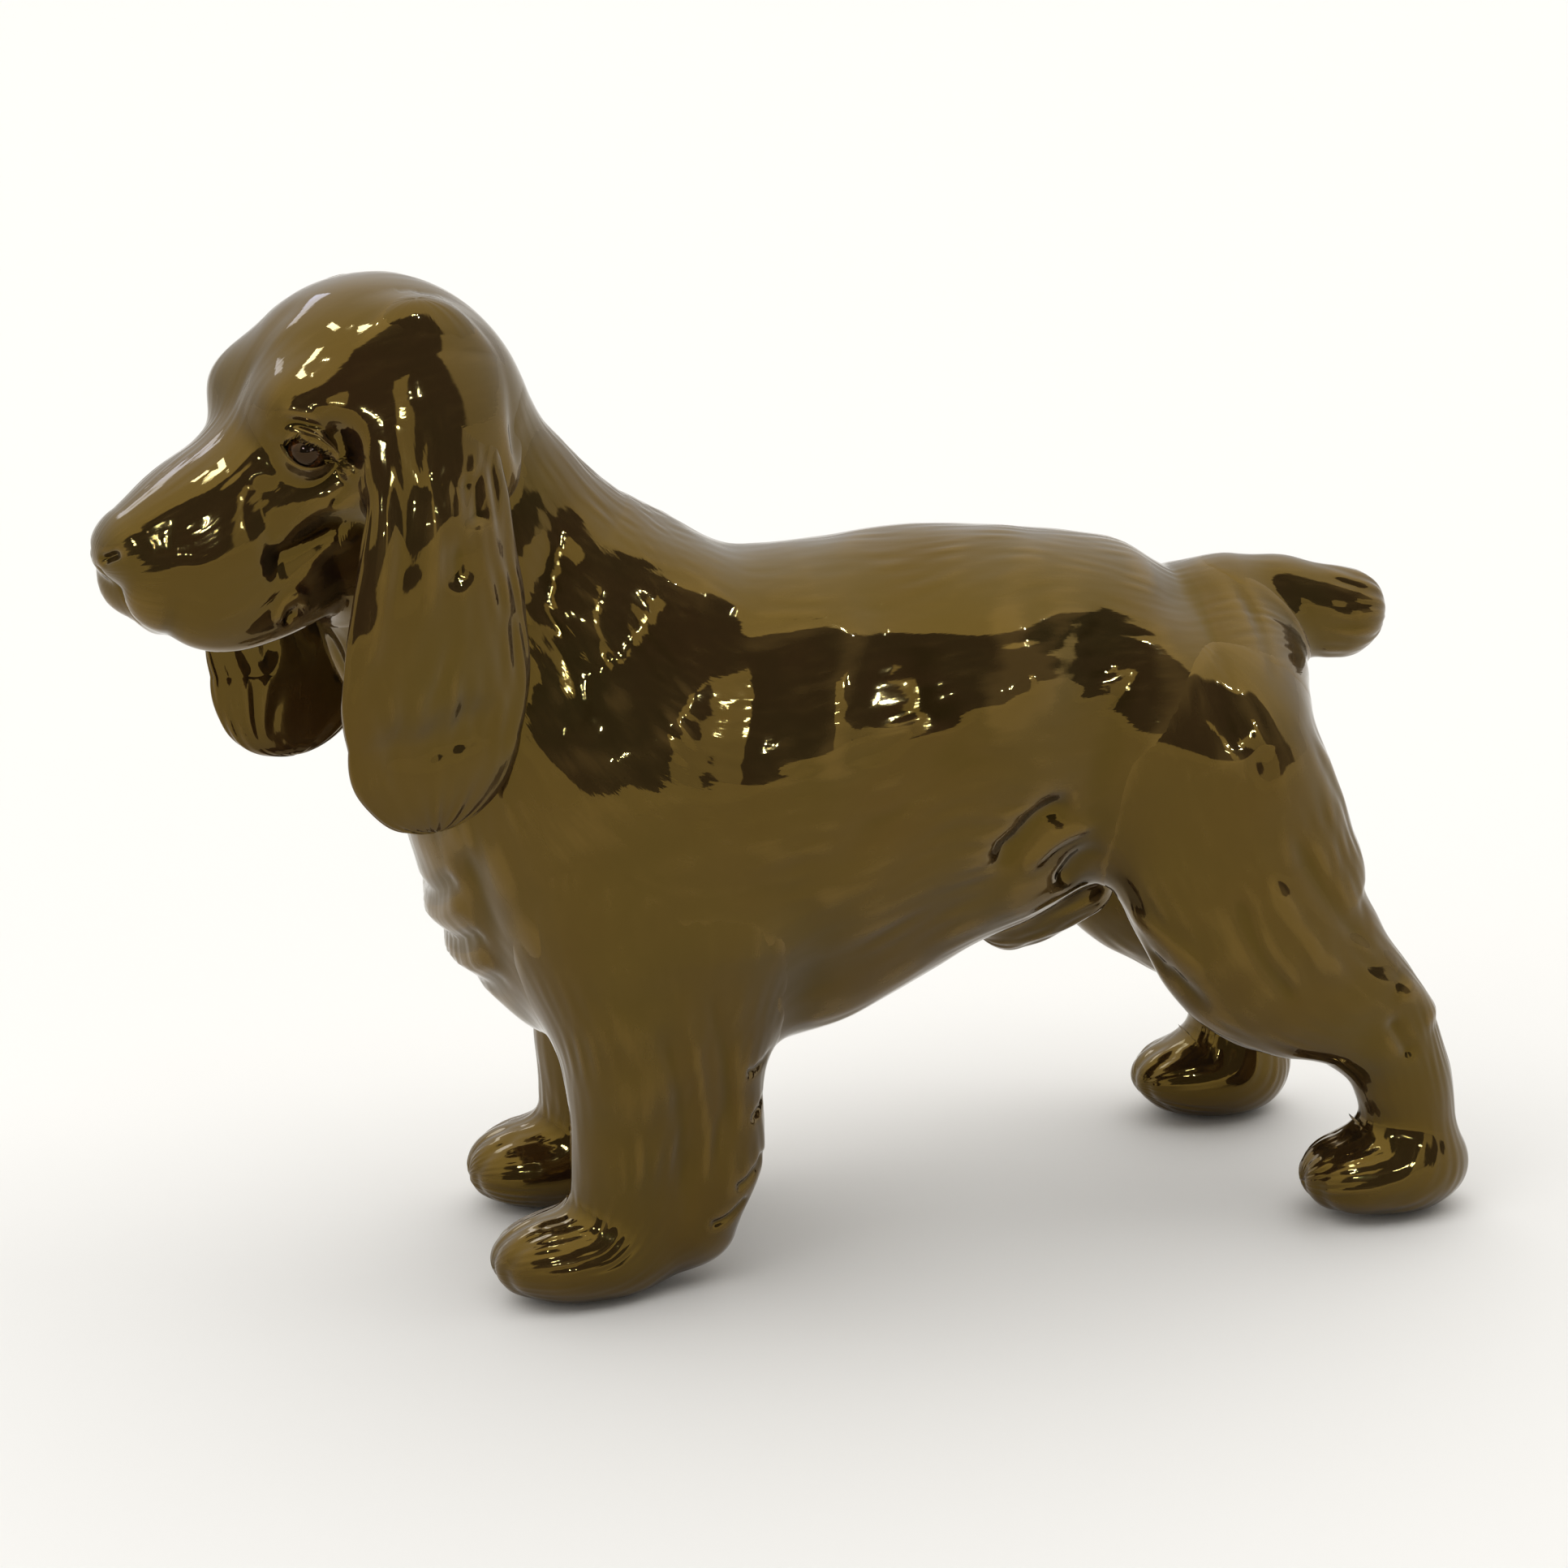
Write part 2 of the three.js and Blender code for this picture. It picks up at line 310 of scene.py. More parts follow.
def only_near(mass: Mass, middle: Sequence[float], reach: float) -> Mass:
    """A mass that is only worked out within reach of a middle, and is far away elsewhere.

    Args:
        mass: the mass.
        middle: a point of the dog.
        reach: distance in mm.

    Returns:
        The same mass, cheaper far from it.
    """

    def nearby(points: Array) -> Array:
        """Distance to the mass, or 60 mm beyond its reach."""
        distance = np.full(len(points), 60.0)
        close = np.linalg.norm(points - np.array(middle), axis=-1) < reach
        if close.any():
            distance[close] = mass(points[close])
        return distance

    return nearby


# ---- Marks in the clay --------------------------------------------------------------------------


class Side(Enum):
    """Which side of the dog: the sign of its left axis."""

    LEFT = 1
    RIGHT = -1

    @property
    def word(self) -> str:
        """The side's name, as the nodes spell it."""
        return self.name.lower()


class Seen(Enum):
    """The side a mark is drawn from: its two drawing axes and the axis that faces the maker."""

    SIDE = (0, 2, 1)
    TOP = (0, 1, 2)
    FRONT = (1, 2, 0)


@dataclass(frozen=True)
class Mark:
    """A ridge or groove drawn on the clay from one side.

    Its height falls off as exp(-(d/width)^2) with the distance d from the drawn path, and it
    tapers at both ends. Marks seen from the side are drawn once and appear on both flanks unless
    only is 1 (left) or -1 (right). facing is the sign of the face they are on: up and forward are 1.
    """

    path: tuple[tuple[float, float], ...]
    width: float
    height: float
    seen: Seen = Seen.SIDE
    taper: float = 0.25
    only: int = 0
    facing: int = 1

    def moved(self, ahead: float) -> "Mark":
        """The same mark further ahead, if it is seen from a side that shows it."""
        if self.seen is Seen.FRONT:
            return self
        return replace(self, path=tuple((x + ahead, y) for x, y in self.path))

    def relief(self, points: Array, normals: Array) -> Array:
        """Height in mm at each point.

        Args:
            points: (n, 3) points in the part's axes.
            normals: (n, 3) normals in those axes.

        Returns:
            n heights, negative where the mark is a groove.
        """
        first, second, third = self.seen.value
        drawn = np.stack([points[:, first], points[:, second]], -1)
        facing = normals[:, third]
        if self.seen is Seen.SIDE:
            side = np.sign(points[:, 1])
            facing = facing * (side if self.only == 0 else self.only)
        else:
            facing = facing * self.facing
            left = 0 if self.seen is Seen.FRONT else 1
            drawn[:, left] = np.abs(drawn[:, left])
        path = curve_through(self.path, 6) if len(self.path) > 2 else np.asarray(self.path, float)
        lengths = np.concatenate([[0.0], np.cumsum(np.linalg.norm(np.diff(path, axis=0), axis=1))])
        nearest = np.full(len(points), 1e6)
        share = np.zeros(len(points))
        for n, (start, end) in enumerate(zip(path[:-1], path[1:])):
            along = end - start
            t = np.clip((drawn - start) @ along / max(along @ along, 1e-9), 0.0, 1.0)
            d = np.linalg.norm(drawn - start - t[:, None] * along, axis=-1)
            closer = d < nearest
            nearest = np.where(closer, d, nearest)
            share = np.where(closer, (lengths[n] + t * (lengths[n + 1] - lengths[n])) / lengths[-1], share)
        taper = 1.0
        if self.taper:
            taper = smoothstep(0.0, self.taper, share) * smoothstep(0.0, self.taper, 1.0 - share)
        return self.height * taper * np.exp(-((nearest / self.width) ** 2)) * smoothstep(0.05, 0.4, facing)


# Where the clay is pinched, cut or raised, drawn in mm from the side that each mark is seen from.
# The haunch's marks cross its seam, so the trunk and the hind legs share them.
HAUNCH_MARKS = (
    Mark(((-22, 52.5), (-26, 57), (-29, 59.6), (-33.4, 60.6)), 1.9, -1.5),
    Mark(((-32, 47.5), (-34.7, 52), (-38, 54.2)), 1.5, -1.5),
    Mark(((-26, 51.5), (-31, 56), (-37, 57.6)), 1.1, 0.7),
    Mark(((-47, 82), (-52, 71), (-59, 62)), 2.2, -0.5),
    Mark(((-58, 86), (-60, 80), (-59.5, 73)), 0.9, -0.5),
)
FLANK_MARKS = (
    *HAUNCH_MARKS,
    Mark(((14.5, 51), (12.2, 43.5), (9, 37.5), (7, 33)), 0.9, -1.1),
    Mark(((10, 46), (7, 39.5), (5, 35)), 1.2, 0.6),
    Mark(((14, 88), (19, 76), (24, 62)), 3.2, 0.35),
    Mark(((6, 84), (10, 74), (12, 60)), 3.4, -0.4),
    Mark(((-8, 88), (-2, 78), (2, 66)), 3, 0.4),
    Mark(((-14, 84), (-12, 72)), 5, -0.3),
    Mark(((-22, 88), (-25, 78), (-25, 66)), 3.6, 0.4),
    Mark(((-22.5, 75.5), (-25.5, 77)), 5.5, 1.6, taper=0.0),
    Mark(((-34, 84), (-38, 76)), 4.4, -0.35),
    Mark(((-44, 86), (-45, 76), (-41, 64)), 3, 0.4),
    Mark(((30, 104), (33, 92), (30, 80), (33, 72)), 2.8, -0.6),
    Mark(((25, 98), (27.5, 86), (25, 74)), 2.6, 0.35),
)
CHEST_MARKS = (
    Mark(((41.9, 64), (39.8, 56.6), (37.2, 49.4), (34, 42.5)), 1.2, 0.7),
    Mark(((44.3, 62), (42.4, 55), (40.2, 48), (37, 41)), 1.3, -0.8),
    Mark(((0, 51.2), (5, 52), (9.5, 55)), 1.1, -0.7, Seen.FRONT, 0),
    Mark(((0, 48.2), (5, 48.8), (9.5, 51.5)), 1.2, 0.6, Seen.FRONT, 0),
    Mark(((0, 45.2), (5, 45.4), (10, 47.5)), 1, -0.8, Seen.FRONT, 0),
    Mark(((0, 42.4), (5, 42.4), (9, 44)), 1.1, 0.7, Seen.FRONT, 0),
    Mark(((0, 39.2), (5, 39), (9, 41)), 1.1, -0.6, Seen.FRONT, 0),
    Mark(((2, 90), (3.5, 80), (4.5, 70)), 0.9, -0.7, Seen.FRONT),
    Mark(((5.5, 88), (7, 79), (8, 70)), 0.9, 0.6, Seen.FRONT),
    Mark(((8, 86), (9.5, 78), (10.5, 68)), 0.9, -0.7, Seen.FRONT),
)
HEAD_MARKS = (
    Mark(((19.6, 12.2), (16.4, 11.2), (12.6, 8.4)), 0.7, 0.3, taper=0.3),
    Mark(((19.2, 10.8), (16.2, 10), (12.8, 7.2)), 0.6, -0.25, taper=0.3),
    Mark(((14, -0.4), (12.2, 1.8), (10.2, 3.9)), 0.55, -0.6),
    Mark(((20.5, 4.5), (21.5, 0), (20, -4.5)), 1.6, -0.5),
    Mark(((23, -6.4), (17, -4.6), (12.5, -3), (9, -4.5)), 2.4, -1.1),
    Mark(((13, -5), (10.5, -11), (9, -16)), 2.2, -0.8),
    Mark(((20.3, -14.2), (19.6, -11.6), (17.4, -11), (16, -13)), 0.6, 0.5),
    Mark(((19, -14.6), (18.4, -13), (17.4, -12.8)), 0.5, -0.5),
    Mark(((24, 0), (17, 0), (10, 0)), 1.6, -0.25, Seen.TOP),
    Mark(((2, -4.6), (3.3, -3.9)), 0.55, -1, Seen.FRONT, 0),
    Mark(((0, -5.6), (0, -13.5)), 0.6, -0.8, Seen.FRONT, 0.1),
)
EAR_MARKS = (
    Mark(
        ((-3.5, 15), (-6.3, 8), (-7.2, 0), (-8, -12), (-7.2, -24), (-4, -34)),
        1.2,
        0.45,
        taper=0.1,
    ),
    Mark(((-1.5, 13), (-4.2, 6), (-5.2, -3), (-5.6, -14)), 1, -0.35, taper=0.4),
    Mark(((-1, 3.4), (-1.6, 0), (-1.8, -3.4)), 1.8, -0.6),
    Mark(((1.7, -6.2), (1.8, -8)), 1.6, -0.5, taper=0.0),
    Mark(((7.3, 10), (9.4, 3), (10.4, -4), (12.2, -12), (15, -22)), 1.1, 0.4, taper=0.2),
    Mark(((5.5, 6), (7.2, -1), (8.6, -8), (10.6, -14)), 1.7, -0.55, taper=0.4),
    Mark(((3.6, 4), (4.6, -4), (6.4, -12), (9.5, -19)), 1.4, 0.3, taper=0.4),
    Mark(((2.5, -14), (4.5, -20), (7.5, -26)), 1, -0.22, taper=0.4),
    Mark(((15, -26.5), (9, -28.5), (1, -27), (-4, -24)), 3.4, -1.1),
)
FORELEG_MARKS = (
    Mark(((5.5, 31), (8, 29.6), (10.5, 29.4)), 0.6, -0.5, taper=0.15),
    Mark(((5.5, 25), (8, 23.2), (9.5, 22.8)), 0.5, -0.45, taper=0.15),
    Mark(((6.5, 17), (9.5, 14.6), (12, 13.6)), 0.7, -0.55, taper=0.15),
    Mark(((9.5, 11.8), (12.5, 9.8), (15.5, 9.2)), 0.6, -0.5, taper=0.15),
    Mark(((17, 46), (13.5, 32), (12.5, 18)), 1.1, -0.4),
    Mark(((20, 44), (16.5, 28), (15.5, 12)), 1.1, 0.4),
    Mark(((22.5, 40), (19.5, 26), (18.5, 10)), 1.1, -0.3),
    Mark(((35, 12.1), (42.5, 11.4)), 0.8, -0.22, Seen.TOP),
    Mark(((35.5, 14.8), (43.5, 14.9)), 0.8, -0.22, Seen.TOP),
    Mark(((35, 17.6), (42.5, 18.4)), 0.8, -0.22, Seen.TOP),
    Mark(((11.5, -1), (11.8, 7)), 0.8, -0.3, Seen.FRONT),
    Mark(((14.8, -1), (14.8, 7.5)), 0.8, -0.3, Seen.FRONT),
    Mark(((18.2, -1), (17.8, 7)), 0.8, -0.3, Seen.FRONT),
)
HINDLEG_MARKS = (
    Mark(((-34, 44), (-41, 40.5), (-46.5, 36.5), (-52, 30.5)), 0.9, -0.7),
    Mark(((-37, 47), (-44, 42.5), (-50, 36.5)), 1.1, 0.5),
    Mark(((-75.5, 33.5), (-80, 30), (-82.5, 26)), 1.7, 0.8),
    Mark(((-75.5, 28), (-77.5, 24.5)), 1.2, -0.7, taper=0.0),
    Mark(((-56, 52), (-62, 42), (-69, 34)), 1.6, 0.5),
    Mark(((-60, 56), (-66, 46), (-73, 38)), 1.6, -0.5),
    Mark(((-52, 50), (-56, 40), (-62, 32)), 1.3, -0.5),
    Mark(((-73, 15.8), (-65, 15.2)), 0.8, -0.22, Seen.TOP),
    Mark(((-72.5, 18.6), (-64, 18.6)), 0.8, -0.22, Seen.TOP),
    Mark(((-73, 21.4), (-65, 22)), 0.8, -0.22, Seen.TOP),
    Mark(((15.2, -1), (15.5, 7)), 0.8, -0.3, Seen.FRONT),
    Mark(((18.6, -1), (18.6, 7.5)), 0.8, -0.3, Seen.FRONT),
    Mark(((22, -1), (21.6, 7)), 0.8, -0.3, Seen.FRONT),
)


# ---- Surfaces -----------------------------------------------------------------------------------


@dataclass(frozen=True)
class Placement:
    """Where the tables' millimetres lie in the frame of the solids."""

    scale: float
    shift: tuple[float, float, float]

    @classmethod
    def from_box(cls, box: tuple[Vector, Vector]) -> "Placement":
        """The placement that fits the drawn length to the solids' box, standing on its floor."""
        low, high = (np.array(corner) for corner in box)
        scale = (high[0] - low[0]) / MODEL_LENGTH
        middle = (low + high) / 2
        return cls(scale, (middle[0] - scale * MODEL_MIDDLE, middle[1], low[2]))

    def frame(self, points: Array) -> Array:
        """Points of the dog in mm as metres in the frame."""
        return points * self.scale + np.array(self.shift)

    def dog(self, points: Array) -> Array:
        """Metres in the frame as points of the dog in mm."""
        return (np.asarray(points) - np.array(self.shift)) / self.scale


PLACEMENT = Placement.from_box(CAD_BOX)


@dataclass
class Sheath:
    """The surface of a casting: rings along a spine, spokes round each ring.

    stations hold [x, y, z, half width, half depth, tilt] in the casting's axes. The depth axis of
    a ring leans back from straight up by tilt degrees in the plane of forward and up; the width
    axis points left. reach is how far the rounded first and last ends go along the spine.
    """

    stations: tuple[tuple[float, ...], ...]
    reach: tuple[float, float]
    rings: int
    spokes: int
    axes: Axes = BODY
    cap: float = 0.14
    ring_crowds: tuple[tuple[float, float, float], ...] = ()
    spoke_crowds: tuple[tuple[float, float, float], ...] = ()
    turn: Array = field(init=False, repr=False)
    points: Array = field(init=False, repr=False)
    normals: Array = field(init=False, repr=False)
    seam: Array = field(init=False, repr=False)

    def rays(self, rings: int, spokes: int) -> tuple[Array, Array]:
        """Origins and directions of all spokes, poles left out.

        A spoke is cos(lean) (w cos a L + d sin a D) + sin(lean) reach T: L, D and T are the ring's
        left, depth and forward axes, a is the angle round the ring, and lean runs from -90 to 90
        degrees over the two rounded ends.

        Args:
            rings: number of rings between the poles.
            spokes: number of spokes on each.

        Returns:
            Two arrays of rings x spokes x 3.
        """
        u = crowded((np.arange(rings) + 1.0) / (rings + 1.0), self.ring_crowds, False)
        v = crowded(np.arange(spokes) / spokes, self.spoke_crowds, True) * 2.0 * np.pi
        self.turn = v
        table = curve_through(self.stations, 12)
        ring = resample(table, np.clip((u - self.cap) / (1.0 - 2.0 * self.cap), 0.0, 1.0))
        lean = (np.clip(u - 1.0 + self.cap, 0.0, None) - np.clip(self.cap - u, 0.0, None)) / self.cap
        lean = lean * np.pi / 2.0
        tilt = np.radians(ring[:, 5])
        zero = np.zeros_like(tilt)
        depth = np.stack([-np.sin(tilt), zero, np.cos(tilt)], -1)
        forward = np.stack([np.cos(tilt), zero, np.sin(tilt)], -1)
        left = np.array([0.0, 1.0, 0.0])
        end = np.where(lean < 0.0, self.reach[0], self.reach[1])
        round_ring = (
            ring[:, None, 3:4] * np.cos(v)[None, :, None] * left
            + ring[:, None, 4:5] * np.sin(v)[None, :, None] * depth[:, None]
        )
        spoke = np.cos(lean)[:, None, None] * round_ring
        spoke = spoke + (np.sin(lean) * end)[:, None, None] * forward[:, None]
        origin = np.broadcast_to(ring[:, None, :3], spoke.shape)
        return origin, spoke

    def _crossing(self, mass: Mass, origin: Array, spoke: Array) -> Array:
        """Where each spoke first leaves the mass, found by stepping out and halving the last step.

        Args:
            mass: the mass, in the dog's axes.
            origin: (n, 3) starts.
            spoke: (n, 3) directions.

        Returns:
            n multiples of the spoke.
        """
        steps = np.linspace(0.1, 2.8, 28)
        low = np.full(len(origin), steps[0])
        high = np.full(len(origin), steps[-1])
        open_yet = np.ones(len(origin), bool)
        for a, b in zip(steps[:-1], steps[1:]):
            if not open_yet.any():
                break
            at = self.axes.dog(origin[open_yet] + b * spoke[open_yet])
            out = mass(at) > 0.0
            index = np.flatnonzero(open_yet)
            low[index[out]], high[index[out]] = a, b
            open_yet[index[out]] = False
        for _ in range(6):
            middle = (low + high) / 2.0
            out = mass(self.axes.dog(origin + middle[:, None] * spoke)) > 0.0
            high = np.where(out, middle, high)
            low = np.where(out, low, middle)
        return (low + high) / 2.0

    def cast(self, mass: Mass, floor: bool = False) -> None:
        """Finds the surface of mass along every spoke and works out its normals.

        A coarse quarter of the rings and spokes is searched outright. The full grid starts from
        those lengths, evenly interpolated, and four secant steps bring each spoke to the surface.

        Args:
            mass: the mass, in the dog's axes.
            floor: whether the mass stands on the floor and is cut flat there.
        """
        rings, spokes = int(self.rings * FINENESS), int(self.spokes * FINENESS) // 4 * 4
        whole = (lambda p: -meet(-mass(p), p[:, 2], 1.2)) if floor else mass
        few, fewer = rings // 4, spokes // 4
        origin, spoke = self.rays(few, fewer)
        rough = self._crossing(whole, origin.reshape(-1, 3), spoke.reshape(-1, 3)).reshape(few, fewer)
        u = (np.arange(rings) + 1.0) / (rings + 1.0) * (few + 1.0) - 1.0
        rows = np.stack([np.interp(u, np.arange(few), column) for column in rough.T], 1)
        v = np.arange(spokes) / spokes * fewer
        closed = np.concatenate([rows, rows[:, :1]], 1)
        length = np.stack([np.interp(v, np.arange(fewer + 1), row) for row in closed], 0).ravel()
        origin, spoke = (part.reshape(-1, 3) for part in self.rays(rings, spokes))

        def distance(at: Array) -> Array:
            """Distance to the mass at that multiple of each spoke."""
            return whole(self.axes.dog(origin + at[:, None] * spoke))

        before, length = length, length * 1.02
        value_before, value = distance(before), distance(length)
        for _ in range(4):
            slope = (value - value_before) / np.where(np.abs(length - before) < 1e-7, 1e-7, length - before)
            slope = np.where(np.abs(slope) < 0.5, 0.5 * np.sign(slope + 1e-9), slope)
            step = np.clip(value / slope, -0.15 * length, 0.15 * length)
            before, value_before = length, value
            length = length - np.where(np.abs(value) < 2e-4, 0.0, step)
            value = distance(length)
        self.points = (origin + length[:, None] * spoke).reshape(rings, spokes, 3)
        self.seam = np.full((rings, spokes), -1e3)
        self.face()

    def face(self) -> None:
        """Unit normals from the cross product of the steps to the neighbouring rings and spokes."""
        p = self.points
        along = np.gradient(p, axis=0)
        around = np.roll(p, -1, 1) - np.roll(p, 1, 1)
        normal = np.cross(around, along)
        length = np.linalg.norm(normal, axis=-1, keepdims=True)
        normal = normal / np.maximum(length, 1e-9)
        outwards = np.sum(normal * (p - p.mean(1, keepdims=True)))
        self.normals = normal if outwards > 0.0 else -normal

    def flat(self) -> tuple[Array, Array]:
        """Points and normals as plain lists."""
        return self.points.reshape(-1, 3), self.normals.reshape(-1, 3)

    def raise_by(self, height: Array) -> None:
        """Moves every point out along its normal by a height in mm."""
        self.points = self.points + self.normals * height.reshape(self.points.shape[:2])[..., None]
        self.face()

    def arc(self) -> tuple[Array, Array]:
        """Lengths in mm along the spine and round the rings, which the coat's strands follow."""
        step = np.linalg.norm(np.diff(self.points, axis=0), axis=-1).mean(1)
        along = np.concatenate([[0.0], np.cumsum(step)])[:, None] * np.ones(self.points.shape[1])
        girth = np.linalg.norm(np.roll(self.points, -1, 1) - self.points, axis=-1).sum(1)
        return along, girth.mean() * self.turn[None] / (2.0 * np.pi) * np.ones_like(along)

    def hollow(self) -> Array:
        """How hollow the surface is, 0 on a ridge, 0.5 on a plain and 1 in a groove.

        It compares each point with the average of its surroundings, along its normal.
        """
        around = self.points
        for _ in range(3):
            around = (np.roll(around, 2, 1) + np.roll(around, -2, 1) + 2.0 * around) / 4.0
            padded = np.concatenate([around[:1], around[:1], around, around[-1:], around[-1:]])
            around = (padded[:-4] + padded[4:] + 2.0 * around) / 4.0
        dip = ((around - self.points) * self.normals).sum(-1)
        return np.clip(0.5 + dip * 2.2, 0.0, 1.0)

    def mesh(self, name: str) -> bpy.types.Object:
        """The surface as a closed object in the frame, with its strands' map and its hollows.

        Args:
            name: the object's name.

        Returns:
            The object, linked to the scene.
        """
        rings, spokes = self.points.shape[:2]
        poles = np.stack([self.points[0].mean(0), self.points[-1].mean(0)])
        points = np.concatenate([self.points.reshape(-1, 3), poles])
        points = PLACEMENT.frame(self.axes.dog(points))
        index = np.arange(rings * spokes).reshape(rings, spokes)
        after = np.roll(index, -1, 1)
        quads = np.stack([index[:-1], after[:-1], after[1:], index[1:]], -1).reshape(-1, 4)
        first, last = rings * spokes, rings * spokes + 1
        start = np.stack([np.full(spokes, first), after[0], index[0]], -1)
        finish = np.stack([np.full(spokes, last), index[-1], after[-1]], -1)
        corner = points[quads]
        spread = np.cross(corner[:, 2] - corner[:, 0], corner[:, 3] - corner[:, 1])
        if (spread * (corner.mean(1) - points.mean(0))).sum() < 0.0:
            quads, start, finish = quads[:, ::-1], start[:, ::-1], finish[:, ::-1]
        mesh = bpy.data.meshes.new(name)
        faces = quads.tolist() + start.tolist() + finish.tolist()
        mesh.from_pydata(points.tolist(), [], faces)
        mesh.shade_smooth()
        hollow = self.hollow()
        attribute = mesh.attributes.new("hollow", "FLOAT", "POINT")
        ends = [hollow[0].mean(), hollow[-1].mean()]
        attribute.data.foreach_set("value", np.concatenate([hollow.ravel(), ends]).astype(np.float32))
        self._strand_map(mesh, rings, spokes)
        made = bpy.data.objects.new(name, mesh)
        bpy.context.scene.collection.objects.link(made)
        return made

    def _strand_map(self, mesh: bpy.types.Mesh, rings: int, spokes: int) -> None:
        """A UV map in cm: v along the casting and u round it, unbroken except at one line."""
        along, around = self.arc()
        width = around[0, -1] * 2.0 * np.pi / self.turn[-1]
        u = np.concatenate([around.ravel(), [width / 2, width / 2]]) / 10.0
        v = np.concatenate([along.ravel(), [0.0, along.max()]]) / 10.0
        vertex = np.zeros(len(mesh.loops), np.int32)
        mesh.loops.foreach_get("vertex_index", vertex)
        uv = np.stack([u[vertex], v[vertex]], -1)
        start = np.zeros(len(mesh.polygons), np.int32)
        total = np.zeros(len(mesh.polygons), np.int32)
        mesh.polygons.foreach_get("loop_start", start)
        mesh.polygons.foreach_get("loop_total", total)
        face = np.repeat(np.arange(len(start)), total)
        widest = np.maximum.reduceat(uv[:, 0], start)
        past_line = (widest[face] - uv[:, 0]) > width / 20.0
        uv[past_line, 0] += width / 10.0
        mesh.uv_layers.new(name="strands").data.foreach_set("uv", uv.astype(np.float32).ravel())


@dataclass(frozen=True)
class Coat:
    """The modelled coat: slow swells of the hand-finished clay and combed strands of hair.

    lump, swell and strand are root mean square heights in mm; length and breadth are a strand's
    size in mm.
    """

    lump: float = 0.34
    swell: float = 0.06
    strand: float = 0.03
    length: float = 14.0
    breadth: float = 1.7
    seed: int = 7

    def relief(self, sheath: Sheath) -> Array:
        """Height of the coat at each point of a sheath.

        Strands are cosine waves in the turn round the ring, whose phase runs slowly along the
        casting and drifts with a slow swell, and they fade in and out in patches.

        Args:
            sheath: the surface, already cast.

        Returns:
            Heights in mm, one per grid point.
        """
        points = sheath.axes.dog(sheath.points)
        slow = self.lump * Waves(3, 25.0).at(points) + self.swell * Waves(4, 8.0).at(points)
        along, around = sheath.arc()
        girth = around[0, -1] * 2.0 * np.pi / sheath.turn[-1]
        draw = np.random.default_rng(self.seed)
        drift = 2.2 * Waves(self.seed + 1, 19.0).at(points)
        patch = 0.35 + 0.65 * smoothstep(-0.6, 1.0, Waves(self.seed + 2, 16.0).at(points))
        combed = np.zeros_like(along)
        count = 20
        for _ in range(count):
            lines = round(girth / self.breadth * draw.uniform(0.5, 1.3))
            lean = 2.0 * np.pi / self.length * draw.uniform(-1.0, 1.0)
            phase = draw.uniform(0.0, 2.0 * np.pi)
            combed += np.cos(lines * sheath.turn[None] + lean * along + phase + drift)
        return slow + self.strand * patch * combed * math.sqrt(2.0 / count)


# ---- Shader graphs ------------------------------------------------------------------------------


class Value:
    """A number socket of a shader graph, on which Python's operators add Math nodes."""

    def __init__(self, graph: "Graph", socket: Socket) -> None:
        """Wraps a socket."""
        self.graph = graph
        self.socket = socket

    def _math(self, operation: str, *inputs: "Value | float") -> "Value":
        """A Math node of one operation on these inputs."""
        return self.graph.math(operation, *inputs)

    def __add__(self, other: "Value | float") -> "Value":
        """Sum."""
        return self._math("ADD", self, other)

    def __sub__(self, other: "Value | float") -> "Value":
        """Difference."""
        return self._math("SUBTRACT", self, other)

    def __mul__(self, other: "Value | float") -> "Value":
        """Product."""
        return self._math("MULTIPLY", self, other)

    def __truediv__(self, other: "Value | float") -> "Value":
        """Quotient."""
        return self._math("DIVIDE", self, other)

    def __radd__(self, other: float) -> "Value":
        """Sum with a number on the left."""
        return self._math("ADD", other, self)

    def __rsub__(self, other: float) -> "Value":
        """A number less this."""
        return self._math("SUBTRACT", other, self)

    def __rmul__(self, other: float) -> "Value":
        """Product with a number on the left."""
        return self._math("MULTIPLY", other, self)

    def __pow__(self, other: float) -> "Value":
        """Power."""
        return self._math("POWER", self, other)


